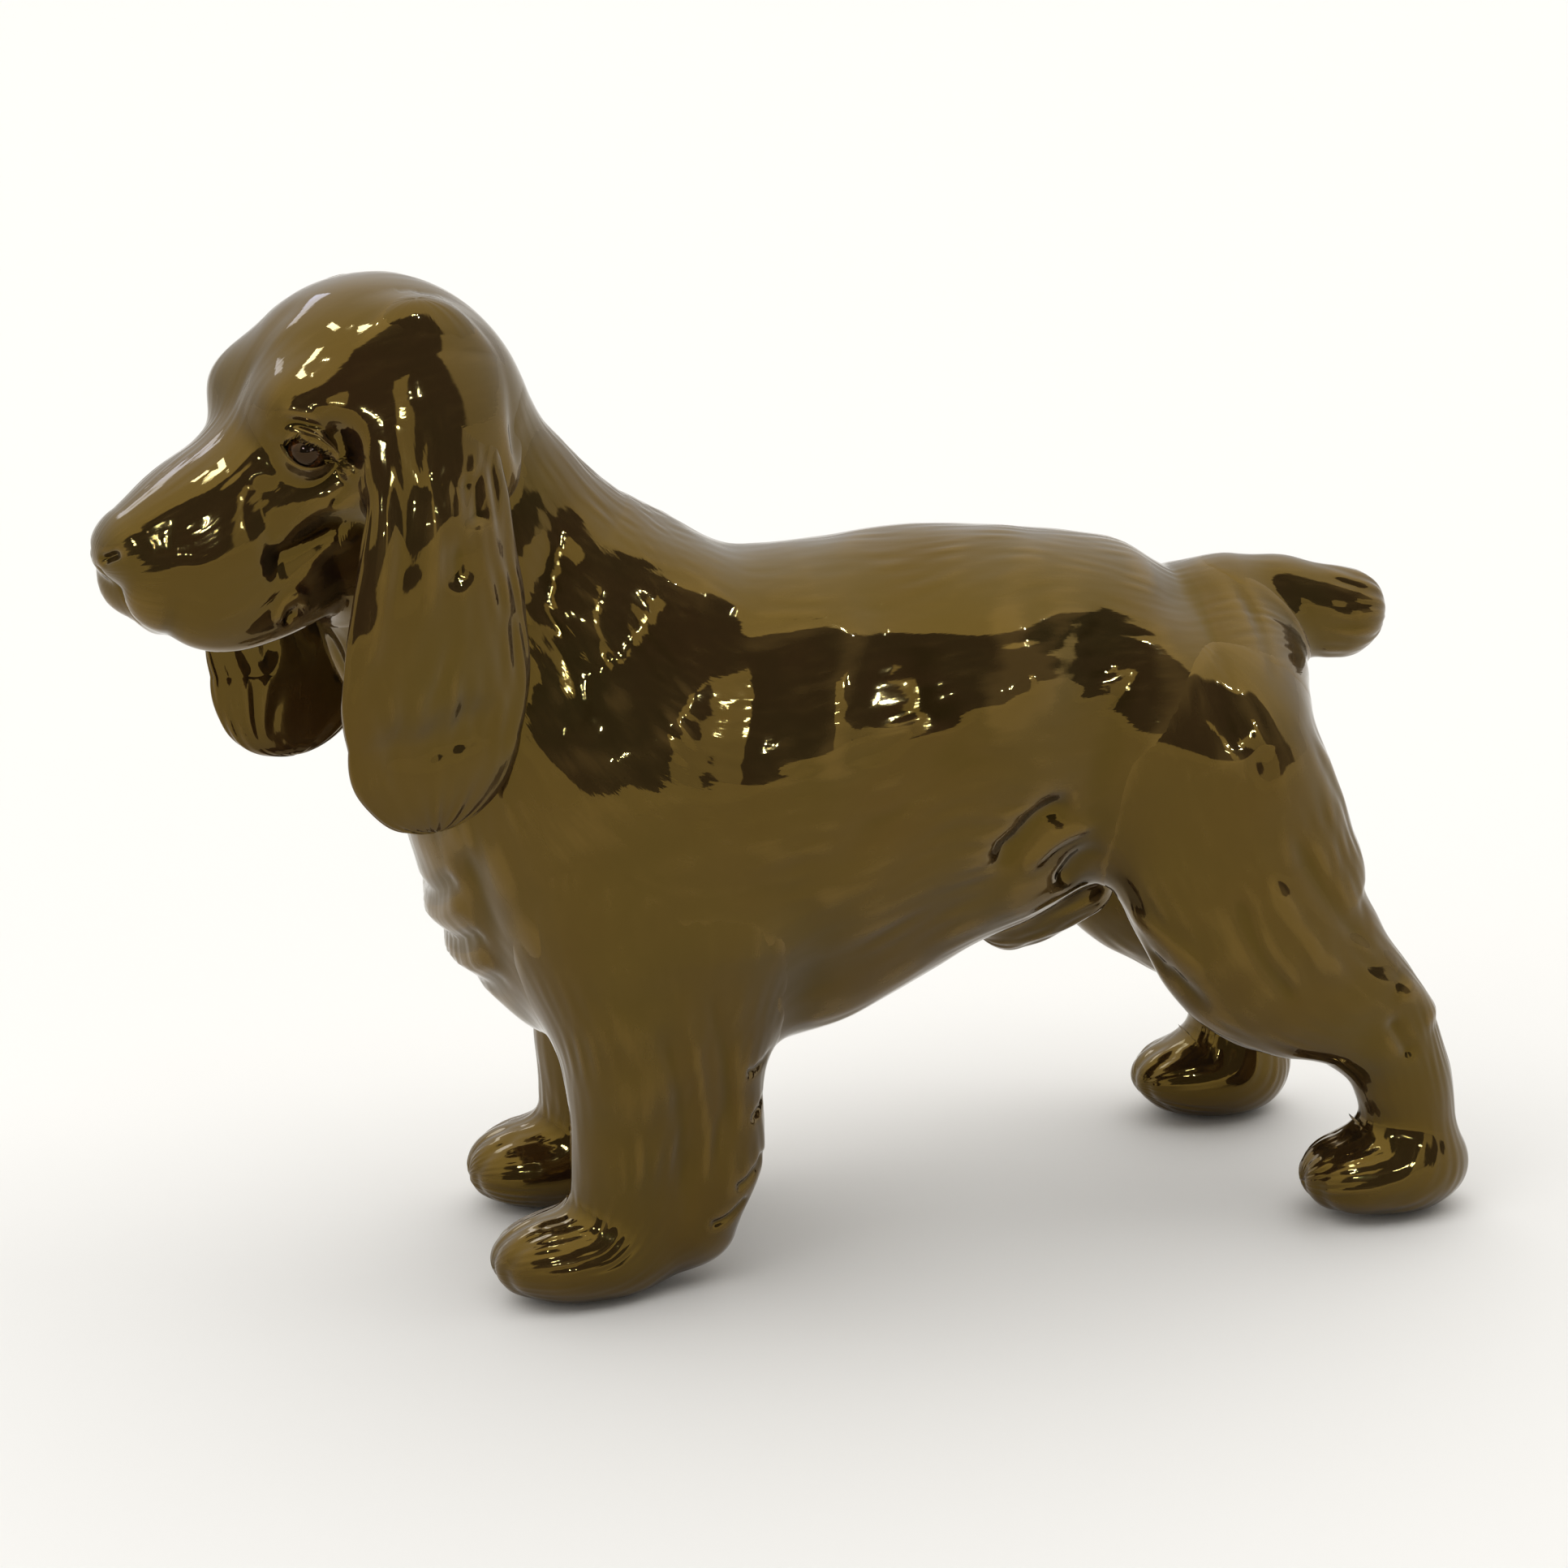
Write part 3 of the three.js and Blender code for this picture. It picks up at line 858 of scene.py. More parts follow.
class Graph:
    """A node tree under construction."""

    def __init__(self, tree: bpy.types.NodeTree) -> None:
        """Empties the tree."""
        self.tree = tree
        tree.nodes.clear()

    def node(self, kind: str, settings: dict | None = None, **inputs: object) -> bpy.types.Node:
        """Adds a node.

        Args:
            kind: the node's type.
            settings: its properties, set before its sockets; "stops" fills a colour ramp.
            inputs: values or links of its sockets, with _ for a space, or i0, i1 by number.

        Returns:
            The node.
        """
        made = self.tree.nodes.new(kind)
        for name, value in (settings or {}).items():
            if name == "stops":
                self._stops(made.color_ramp, value)
            else:
                setattr(made, name, value)
        for name, value in inputs.items():
            key = int(name[1:]) if name[0] == "i" and name[1:].isdigit() else name.replace("_", " ")
            socket = made.inputs[key]
            source = value.socket if isinstance(value, Value) else value
            if isinstance(source, Socket):
                self.tree.links.new(source, socket)
            else:
                socket.default_value = source
        return made

    @staticmethod
    def _stops(ramp: bpy.types.ColorRamp, stops: Sequence[tuple[float, tuple[float, ...]]]) -> None:
        """Fills a colour ramp with (position, colour) stops."""
        while len(ramp.elements) < len(stops):
            ramp.elements.new(0.5)
        for element, (position, colour) in zip(ramp.elements, stops):
            element.position = position
            element.color = (*colour, 1.0)

    def math(self, operation: str, *inputs: "Value | float", clamp: bool = False) -> Value:
        """A Math node of one operation on numbers and values."""
        sockets = {f"i{n}": value for n, value in enumerate(inputs)}
        made = self.node("ShaderNodeMath", {"operation": operation, "use_clamp": clamp}, **sockets)
        return Value(self, made.outputs[0])

    def ramp(self, source: Value, low: float, high: float) -> Value:
        """0 where source is low and 1 where it is high, with soft ends."""
        settings = {"interpolation_type": "SMOOTHSTEP"}
        made = self.node("ShaderNodeMapRange", settings, Value=source, From_Min=low, From_Max=high)
        return Value(self, made.outputs["Result"])

    def mix(self, share: Value, first: object, second: object) -> Socket:
        """A colour between two, by a share."""
        made = self.node("ShaderNodeMix", {"data_type": "RGBA"}, i0=share, i6=first, i7=second)
        return made.outputs[2]

    def noise(self, where: Socket, scale: float, detail: float = 3.0, rough: float = 0.5) -> Value:
        """Fractal noise of 0 to 1 at a place."""
        made = self.node("ShaderNodeTexNoise", Vector=where, Scale=scale, Detail=detail, Roughness=rough)
        return Value(self, made.outputs[0])

    def stretched(self, where: Socket, scale: tuple[float, float, float]) -> Socket:
        """A place scaled along each axis."""
        return self.node("ShaderNodeMapping", Vector=where, Scale=scale).outputs[0]


# ---- Finishes -----------------------------------------------------------------------------------


@dataclass(frozen=True)
class TreacleGlaze:
    """Thick dark treacle-brown gloss glaze over fired clay.

    It is nearly black where it is thick, and olive brown in its mirror. pooled, body and thin are
    its colours in hollows, on plains and on ridges where it runs thin.
    """

    name: str = "treacle_glaze"
    pooled: tuple[float, float, float] = (0.006, 0.004, 0.002)
    body: tuple[float, float, float] = (0.015, 0.012, 0.005)
    thin: tuple[float, float, float] = (0.075, 0.046, 0.016)
    plum: tuple[float, float, float] = (0.024, 0.011, 0.006)
    mirror: tuple[float, float, float] = (0.80, 0.51, 0.10)
    roughness: float = 0.03
    strand_depth: float = 0.00003

    def material(self) -> bpy.types.Material:
        """Builds the material.

        Returns:
            The material, made once per finish.
        """
        made = bpy.data.materials.get(self.name)
        if made:
            return made
        made = bpy.data.materials.new(self.name)
        made.use_nodes = True
        g = Graph(made.node_tree)
        place = g.node("ShaderNodeTexCoord").outputs["Object"]
        strands = g.node("ShaderNodeUVMap", {"uv_map": "strands"}).outputs[0]
        hollow = Value(g, g.node("ShaderNodeAttribute", {"attribute_name": "hollow"}).outputs["Fac"])
        cloud = g.noise(place, 55.0, 4.0)
        speckle = g.noise(place, 900.0, 2.0)
        combed = g.noise(g.stretched(strands, (11.0, 1.6, 1.0)), 1.0, 3.0, 0.6)
        pools = g.ramp(hollow + (cloud - 0.5) * 0.35, 0.54, 0.8)
        ridges = g.ramp(hollow + (combed - 0.5) * 0.25, 0.42, 0.16)
        colour = g.mix(g.ramp(cloud, 0.15, 0.85), (*self.body, 1.0), (*self.plum, 1.0))
        colour = g.mix(g.ramp(combed, 0.45, 0.85) * 0.3, colour, (*self.thin, 1.0))
        colour = g.mix(ridges * 0.8, colour, (*self.thin, 1.0))
        colour = g.mix(pools * 0.9, colour, (*self.pooled, 1.0))
        roughness = self.roughness + (speckle - 0.5) * 0.03 + g.ramp(cloud, 0.4, 0.75) * 0.03
        height = combed + g.noise(place, 230.0, 2.0) * 0.5
        bump = g.node("ShaderNodeBump", Strength=0.55, Distance=self.strand_depth, Height=height)
        shader = g.node(
            "ShaderNodeBsdfPrincipled",
            Base_Color=colour,
            Roughness=g.math("MAXIMUM", roughness, 0.02),
            IOR=1.6,
            Specular_IOR_Level=1.0,
            Specular_Tint=(*self.mirror, 1.0),
            Normal=bump.outputs[0],
        )
        g.node("ShaderNodeOutputMaterial", Surface=shader.outputs[0])
        return made


@dataclass(frozen=True)
class EyeEnamel:
    """A painted eye: black pupil, amber-brown iris and a dark rim, under a clear gloss.

    centre and look are the middle of the eye and the way it faces, in the frame.
    """

    name: str
    centre: tuple[float, float, float]
    look: tuple[float, float, float]
    radius: float
    pupil: tuple[float, float, float] = (0.002, 0.0015, 0.001)
    iris: tuple[float, float, float] = (0.06, 0.018, 0.003)
    rim: tuple[float, float, float] = (0.012, 0.006, 0.003)

    def material(self) -> bpy.types.Material:
        """Builds the material.

        The angle from the way the eye looks is the arc cosine of the unit offset from the eye's
        centre along it; pupil, iris and rim are bands of that angle.

        Returns:
            The material.
        """
        made = bpy.data.materials.new(self.name)
        made.use_nodes = True
        g = Graph(made.node_tree)
        place = g.node("ShaderNodeTexCoord").outputs["Object"]
        offset = g.node("ShaderNodeVectorMath", {"operation": "SUBTRACT"}, i0=place, i1=self.centre)
        unit = g.node("ShaderNodeVectorMath", {"operation": "NORMALIZE"}, i0=offset.outputs[0])
        dot = g.node("ShaderNodeVectorMath", {"operation": "DOT_PRODUCT"}, i0=unit.outputs[0], i1=self.look)
        facing = Value(g, dot.outputs["Value"])
        fibre = g.noise(place, 2600.0, 3.0)
        iris = g.mix(g.ramp(fibre, 0.3, 0.7), (*self.iris, 1.0), (*self.rim, 1.0))
        colour = g.mix(g.ramp(facing, 0.55, 0.68), (*self.rim, 1.0), iris)
        colour = g.mix(g.ramp(facing, 0.8, 0.86), colour, (*self.pupil, 1.0))
        bump = g.node("ShaderNodeBump", Strength=0.2, Distance=0.00003, Height=fibre)
        shader = g.node(
            "ShaderNodeBsdfPrincipled",
            Base_Color=colour,
            Roughness=0.03 + fibre * 0.03,
            IOR=1.6,
            Specular_IOR_Level=0.35,
            Specular_Tint=(1.0, 0.6, 0.3, 1.0),
            Normal=bump.outputs[0],
        )
        g.node("ShaderNodeOutputMaterial", Surface=shader.outputs[0])
        return made


@dataclass(frozen=True)
class PaleTable:
    """The matt white board that the figure stands on."""

    name: str = "pale_table"
    colour: tuple[float, float, float] = (0.86, 0.855, 0.84)

    def material(self) -> bpy.types.Material:
        """Builds the material."""
        made = bpy.data.materials.new(self.name)
        made.use_nodes = True
        g = Graph(made.node_tree)
        place = g.node("ShaderNodeTexCoord").outputs["Object"]
        tone = g.noise(place, 3.0, 2.0)
        darker = tuple(0.985 * c for c in self.colour)
        colour = g.mix(tone, (*self.colour, 1.0), (*darker, 1.0))
        shader = g.node("ShaderNodeBsdfPrincipled", Base_Color=colour, Roughness=0.8, Specular_IOR_Level=0.1)
        g.node("ShaderNodeOutputMaterial", Surface=shader.outputs[0])
        return made


# ---- The castings -------------------------------------------------------------------------------


GLAZE = TreacleGlaze()


@dataclass
class Casting:
    """What every casting has: a node it stands for, a coat, marks and the fillet of its seams."""

    node: str = ""
    coat: Coat = Coat()
    marks: tuple[Mark, ...] = ()
    fillet: float = 6.0
    floor: bool = False

    def mass(self, points: Array) -> Array:
        """Distance to the casting's own mass."""
        raise NotImplementedError

    def sheath(self) -> Sheath:
        """The empty surface that the casting is drawn on."""
        raise NotImplementedError

    def build(self, neighbours: Sequence[tuple[Mass, float]]) -> bpy.types.Object:
        """Casts, marks and dresses the piece.

        Args:
            neighbours: the masses it is luted to, each with the fillet between them.

        Returns:
            The finished object.
        """
        sheath = self.sheath()

        def luted(points: Array) -> Array:
            """Distance to the casting with its share of every fillet."""
            own = self.mass(points)
            share = np.zeros(len(points))
            for other, fillet in neighbours:
                share += luting(own, other(points), fillet)
            return own - share

        sheath.cast(luted, self.floor)
        points, normals = sheath.flat()
        dog = sheath.axes.dog(points)
        own = self.mass(dog)
        clear = np.ones(len(points))
        for other, fillet in neighbours:
            clear *= smoothstep(0.2 * fillet, 1.3 * fillet, other(dog) - own)
        height = self.coat.relief(sheath).ravel() * (0.35 + 0.65 * clear)
        marked = np.zeros(len(points))
        for mark in self.marks:
            marked += mark.relief(points, normals)
        height += marked * (0.25 + 0.75 * clear)
        if self.floor:
            height *= smoothstep(0.3, 2.5, dog[:, 2])
        sheath.raise_by(height)
        made = sheath.mesh(self.node)
        made.name = f"{self.node}_glazed"
        made.data.materials.append(GLAZE.material())
        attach(made, "root")
        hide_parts(self.node)
        low, high = (np.array(c) * 1000 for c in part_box(self.node))
        mine = PLACEMENT.frame(sheath.axes.dog(sheath.points)).reshape(-1, 3) * 1000
        LOG.info(
            "%s: %d faces, %s to %s mm, solid %s to %s",
            made.name,
            len(made.data.polygons),
            mine.min(0).round(1),
            mine.max(0).round(1),
            low.round(1),
            high.round(1),
        )
        return made


@dataclass
class Torso(Casting):
    """Trunk, neck, bib and brisket in one casting."""

    node: str = "body_shell"
    barrel: Limb = Limb(
        (
            (-54, 0, 69.4, 15, 16),
            (-47, 0, 68.5, 18.3, 20.6),
            (-34, 0, 67.3, 19.2, 24.5),
            (-20, 0, 66, 20, 26.5),
            (-6, 0, 63.3, 21.5, 29.7),
            (6, 0, 60.5, 22, 31.5),
            (16, 0, 58, 21.5, 31),
        )
    )
    neck: Limb = Limb(
        (
            (22.5, 0, 60, 21, 22.5),
            (28, 0, 70.7, 20, 22.3),
            (33.2, 0, 80.3, 17.5, 22),
            (39, 0, 88.3, 15, 20),
            (43.3, 0, 96.2, 13.7, 17.8),
            (46.4, 0, 102.4, 12.7, 16),
            (48.5, 0, 108, 11.5, 14),
        )
    )
    bib: Limb = Limb(((34.5, 0, 64, 11, 9), (33, 0, 52, 11, 9.5), (28.5, 0, 41, 10, 9), (22, 0, 36, 10, 7)))
    brisket: Limb = Limb(
        ((12, 0, 35, 13, 8.5), (0, 0, 36.5, 14, 8.5), (-12, 0, 42, 14, 9), (-26, 0, 48, 14, 8))
    )
    crest: Limb = Limb(
        (
            (43, 0, 109.6, 8, 9),
            (39, 0, 105.3, 8.5, 9),
            (34, 0, 99.8, 9, 9),
            (29, 0, 94.3, 10, 9),
            (23.6, 0, 90, 11, 9),
            (15.7, 0, 86, 12, 8.4),
        )
    )
    marks: tuple[Mark, ...] = FLANK_MARKS + CHEST_MARKS

    def mass(self, points: Array) -> Array:
        """Distance to the trunk with its neck and hair."""
        trunk = meet(self.barrel(points), self.neck(points), 7.0)
        trunk = meet(trunk, self.crest(points), 5.0)
        return meet(meet(trunk, self.bib(points), 5.0), self.brisket(points), 6.0)

    def sheath(self) -> Sheath:
        """Rings that stand upright along the trunk and fan round the withers up the neck."""
        stations = (
            (-49, 0, 68.8, 18, 19.5, 0),
            (-34, 0, 67.3, 19, 24, 0),
            (-20, 0, 66, 20, 26, 0),
            (-6, 0, 63.3, 21, 29, 0),
            (6, 0, 61, 22, 31, 2),
            (14, 0, 61, 21.5, 33, 6),
            (22, 0, 64, 21, 34, 14),
            (29, 0, 70, 20, 32, 24),
            (35, 0, 78.5, 18, 27, 37),
            (40, 0, 88, 15.5, 22, 50),
            (44, 0, 96.5, 13.7, 18.5, 58),
            (47, 0, 103.5, 12.7, 16, 62),
            (49, 0, 109, 11.5, 14, 63),
        )
        return Sheath(stations, (19.0, 8.0), 330, 280)


@dataclass(frozen=True)
class EyeSocket:
    """The eye's surroundings: a socket, a ball of lids with an almond slit, and the upper lid's edge.

    Along the slit the lids' own axes are the slit from its inner to its outer corner, up, and out.
    """

    side: "Side"
    middle: tuple[float, float, float] = (15.6, 8.9, 6.6)
    look: tuple[float, float, float] = (0.5, 0.86, 0.03)
    slit: tuple[float, float, float] = (-6.0, 3.3, -3.2)
    half_length: float = 2.75
    half_height: float = 1.3
    lids: float = 3.05
    ball: float = 2.3

    def frame(self) -> tuple[Array, Array]:
        """The eye's middle and the three axes, in the head's axes.

        Returns:
            The middle, and rows along the slit, up and out.
        """
        s = np.array([1.0, self.side.value, 1.0])
        out = np.array(self.look) * s
        out /= np.linalg.norm(out)
        along = np.array(self.slit) * s
        along -= (along @ out) * out
        along /= np.linalg.norm(along)
        up = np.cross(out, along)
        return np.array(self.middle) * s, np.stack([along, up if up[2] > 0 else -up, out])

    def edge(self, drawn: Sequence[tuple[float, float, float, float]]) -> Limb:
        """A thin limb through points given as (along, up, out, thickness)."""
        middle, axes = self.frame()
        return Limb(tuple((*(middle + np.array(row[:3]) @ axes), row[3], row[3]) for row in drawn), HEAD)

    def set_in(self, solid: Array, points: Array) -> Array:
        """Cuts the socket in a mass and adds the lids round their slit.

        The slit is where two balls whose middles lie above and below the eye overlap, so it is an
        almond seen from the front.

        Args:
            solid: distances to the head so far.
            points: the same points, of the dog.

        Returns:
            Distances to the head with its eye.
        """
        middle, axes = self.frame()
        s = self.side.value
        hollow = Egg((16.2, 12.0 * s, 6.0), (5.2, 2.6, 3.6), HEAD)
        solid = carve(solid, hollow(points), 3.5)
        solid = meet(solid, Egg(tuple(middle), (self.lids,) * 3, HEAD)(points), 1.8)
        upper = (
            (-3.8, 0.9, 1.0, 0.5),
            (-1.8, 2.0, 1.9, 0.7),
            (0.8, 2.3, 2.1, 0.75),
            (3.2, 1.3, 1.5, 0.6),
            (5.2, -0.3, 0.5, 0.5),
        )
        solid = meet(solid, self.edge(upper)(points), 1.0)
        local = (HEAD.local(points) - middle) @ axes.T
        radius = (self.half_length**2 + self.half_height**2) / (2.0 * self.half_height)
        lift = radius - self.half_height
        lens = [np.hypot(local[:, 0], local[:, 1] + way * lift) - radius for way in (1.0, -1.0)]
        front = np.maximum(self.ball - np.linalg.norm(local, axis=1), 0.5 - local[:, 2])
        return carve(solid, np.maximum(np.maximum(*lens), front), 0.5)


@dataclass
class Head(Casting):
    """Skull, muzzle, flews, jaw, brows, lids and nose."""

    node: str = "head_shell"
    coat: Coat = Coat(lump=0.11, swell=0.035, strand=0.012)
    marks: tuple[Mark, ...] = HEAD_MARKS
    muzzle: Limb = Limb(
        (
            (8, 0, 2.6, 11.5, 8.5),
            (16, 0, 2.5, 9.6, 6.9),
            (22, 0, 1.0, 8.4, 6.2),
            (28, 0, -1.4, 7.4, 5.6),
            (33.8, 0, -3.7, 5.4, 4.5),
        ),
        HEAD,
    )
    jaw: Limb = Limb(
        ((4, 0, -8, 9, 9), (14, 0, -10.5, 7, 5.5), (24, 0, -12.5, 4.5, 3.4), (31, 0, -12.6, 3, 2.6)), HEAD
    )

    def mass(self, points: Array) -> Array:
        """Distance to the head."""
        lobes = [Egg((2.2, 2.9 * side.value, 7.9), (16.3, 11.7, 14.9), HEAD)(points) for side in Side]
        solid = meet(meet(*lobes, 7.0), self.muzzle(points), 6.0)
        solid = meet(solid, self.jaw(points), 4.0)
        for side in Side:
            s = side.value
            flew = (
                (12, 5.4 * s, -6.4, 4.6, 7.4),
                (19, 5.6 * s, -8.3, 4.3, 8.4),
                (26, 5.2 * s, -9.2, 4.3, 8.0),
                (31.2, 3.8 * s, -8.4, 3.8, 5.6),
            )
            wall = ((12, 5.6 * s, -0.5, 5, 6), (21, 4.9 * s, -2.9, 4.6, 5.4), (29, 4.1 * s, -5.0, 3.9, 4.4))
            solid = meet(solid, Limb(wall, HEAD)(points), 2.0)
            solid = meet(solid, Limb(flew, HEAD)(points), 2.6)
            solid = meet(solid, Egg((14.2, 6.8 * s, 11.2), (5.4, 4.8, 4.4), HEAD)(points), 4.0)
            solid = EyeSocket(side).set_in(solid, points)
        solid = meet(solid, Egg((35.2, 0, -4.6), (3.5, 4.3, 3.1), HEAD)(points), 1.6)
        return solid

    def sheath(self) -> Sheath:
        """Rings from the back of the skull to the nose, crowded at the eyes."""
        stations = (
            (-4, 0, 7, 14, 15, 0),
            (4, 0, 6, 14.5, 16, -2),
            (10, 0, 5, 13, 15.5, -6),
            (16, 0, 3, 10.5, 12.5, -10),
            (22, 0, -1, 9, 10, -12),
            (28, 0, -5.2, 7.5, 8.5, -10),
            (32, 0, -5.6, 6.5, 7, -5),
        )
        eyes = ((0.055, 0.05, 2.6), (0.445, 0.05, 2.6))
        return Sheath(stations, (11.0, 7.0), 330, 300, HEAD, 0.14, ((0.48, 0.08, 1.7),), eyes)


@dataclass
class Ear(Casting):
    """A long leaf that hangs beside the cheek, widest low in its lobe."""

    side: Side = Side.LEFT
    fillet: float = 3.2
    coat: Coat = Coat(lump=0.2, swell=0.06, strand=0.05)
    marks: tuple[Mark, ...] = EAR_MARKS

    def __post_init__(self) -> None:
        """Names the node for its side."""
        self.node = f"{self.side.word}_ear"

    def rows(self) -> tuple[tuple[float, ...], ...]:
        """Stations of the leaf from its root down."""
        s = self.side.value
        return (
            (0.3, 8.6 * s, 15, 2.2, 7.0),
            (1.0, 12.4 * s, 7.5, 2.4, 8.0),
            (2.1, 15.3 * s, -1.5, 2.7, 9.2),
            (3.5, 17 * s, -12, 2.6, 11.2),
            (4.3, 17.8 * s, -21, 2.4, 12.6),
            (4.6, 18 * s, -25.5, 2.2, 12.3),
            (4.8, 18 * s, -28.6, 2.0, 11.5),
        )

    def mass(self, points: Array) -> Array:
        """Distance to the leaf."""
        return Limb(self.rows(), HEAD)(points)

    def sheath(self) -> Sheath:
        """Rings down the leaf."""
        stations = tuple((*row, -90.0) for row in self.rows())
        return Sheath(stations, (5.0, 10.5), 240, 200, HEAD, cap=0.16)


@dataclass
class Foreleg(Casting):
    """A fore leg: column, feathering behind it and paw."""

    side: Side = Side.LEFT
    floor: bool = True
    coat: Coat = Coat(lump=0.25)

    def __post_init__(self) -> None:
        """Names the node for its side, and sets its marks back with it."""
        self.node = f"{self.side.word}_foreleg"
        self.marks = tuple(mark.moved(-self.back) for mark in FORELEG_MARKS)

    @property
    def back(self) -> float:
        """The right leg stands a little further back."""
        return 0.0 if self.side is Side.LEFT else 2.5

    def mass(self, points: Array) -> Array:
        """Distance to the leg."""
        s, b = self.side.value, self.back
        y = 14.0 * s
        bone = (
            (26 - b, 12 * s, 60, 9, 12),
            (24.5 - b, y, 46, 9, 12),
            (24.2 - b, y, 30, 7.6, 8.6),
            (24.7 - b, y, 14, 7, 7.4),
            (26 - b, y, 6.5, 6.5, 7),
        )
        hair = (
            (13 - b, y, 46, 8, 8.5),
            (13 - b, y, 32, 6.5, 6.6),
            (13.2 - b, y, 18, 6, 6.6),
            (16.5 - b, y, 8, 5.5, 6.2),
        )
        column, feathering = Limb(bone), Limb(hair)
        paw = Egg((31.2 - b, y + 0.5 * s, 5.4), (11, 8, 6.0))
        return meet(meet(column(points), feathering(points), 6.0), paw(points), 3.0)

    def sheath(self) -> Sheath:
        """Rings down the leg that turn forward over the paw."""
        s, b = self.side.value, self.back
        y = 14.0 * s
        stations = (
            (20 - b, 12.5 * s, 58, 8, 12, -90),
            (19.5 - b, y, 44, 9, 14, -90),
            (19.3 - b, y, 30, 8, 12.5, -90),
            (20.3 - b, y, 17, 7.5, 11, -86),
            (23 - b, y, 10, 7, 9, -65),
            (27.5 - b, y + 0.2 * s, 6.2, 7.5, 6.5, -35),
            (33 - b, y + 0.5 * s, 5.2, 7, 5.5, -5),
        )
        return Sheath(stations, (8.0, 8.0), 300, 190)


@dataclass
class Hindleg(Casting):
    """A hind leg: haunch, stifle, hock and pastern in one sweep, and the paw."""

    side: Side = Side.LEFT
    floor: bool = True
    coat: Coat = Coat(lump=0.25)

    def __post_init__(self) -> None:
        """Names the node for its side, and sets the foot's marks forward with it."""
        self.node = f"{self.side.word}_hindleg"
        ahead = 0.0 if self.side is Side.LEFT else 11.0
        self.marks = HAUNCH_MARKS + tuple(mark.moved(ahead) for mark in HINDLEG_MARKS)

    def rows(self) -> tuple[tuple[float, ...], ...]:
        """Stations of the sweep from the haunch down."""
        if self.side is Side.LEFT:
            return (
                (-52.3, 11, 62, 12, 15.2),
                (-56, 14.5, 51.5, 9.5, 16),
                (-62, 16.5, 38, 8.8, 14.3),
                (-74.5, 18, 26.5, 6.3, 8),
                (-80, 18, 16, 6, 6.6),
                (-81, 18, 8, 6.3, 7),
            )
        return (
            (-52.3, -11, 62, 12, 15.2),
            (-55, -14.5, 51.5, 9.5, 16),
            (-56, -16.5, 38, 8.8, 12.5),
            (-66.5, -18, 25, 6.3, 7.6),
            (-70.3, -18, 16, 6, 6.4),
            (-70.6, -18, 8, 6.3, 7),
        )

    def mass(self, points: Array) -> Array:
        """Distance to the leg."""
        last = self.rows()[-1]
        paw = Egg((last[0] + 3.5, last[1] + 0.5 * self.side.value, 5.6), (11.3, 7.8, 6.0))
        return meet(Limb(self.rows())(points), paw(points), 4.0)

    def sheath(self) -> Sheath:
        """Rings down the leg that turn forward over the paw."""
        rows = self.rows()
        tilts = (-100, -106, -120, -118, -95, -70)
        stations = [(*row, tilt) for row, tilt in zip(rows, tilts)]
        heel = rows[-1]
        stations[-1] = (heel[0] + 0.5, heel[1], 9.5, 6.3, 7, -68)
        stations.append((heel[0] + 3.2, heel[1], 6.4, 7, 6.4, -35))
        stations.append((heel[0] + 7.5, heel[1], 5.4, 7, 5.6, -4))
        return Sheath(tuple(stations), (9.0, 7.5), 300, 180)


@dataclass
class Tail(Casting):
    """The short tail, held level."""

    node: str = "tail"
    fillet: float = 3.0
    coat: Coat = Coat(lump=0.1, swell=0.08, strand=0.05, length=9.0)
    stub: Limb = Limb(((-60, 0, 79.5, 5.5, 6.5), (-68, 0, 78.6, 5, 6.4), (-76, 0, 77, 4.6, 6)))

    def mass(self, points: Array) -> Array:
        """Distance to the tail."""
        return self.stub(points)

    def sheath(self) -> Sheath:
        """Rings from the tip to the root."""
        stations = ((-76, 0, 77, 4.6, 6, 8), (-68, 0, 78.6, 5, 6.4, 8), (-58, 0, 79.8, 5.5, 6.5, 5))
        return Sheath(stations, (6.0, 5.0), 120, 110, cap=0.22)


@dataclass
class BellyTuft(Casting):
    """The tuft of hair under the loin."""

    node: str = "belly_tuft"
    fillet: float = 3.0
    coat: Coat = Coat(lump=0.1, swell=0.08, strand=0.06, length=9.0)
    pad: Limb = Limb(((-40, 0, 43, 4, 5), (-34, 0, 40.5, 4, 5), (-31, 0, 39.5, 4, 4.8)))

    def mass(self, points: Array) -> Array:
        """Distance to the tuft."""
        return self.pad(points)

    def sheath(self) -> Sheath:
        """Rings from back to front."""
        stations = ((-40, 0, 43, 4, 5, -18), (-34, 0, 40.5, 4, 5, -20), (-31, 0, 39.5, 4, 4.8, -20))
        return Sheath(stations, (5.0, 5.0), 90, 90, cap=0.25)


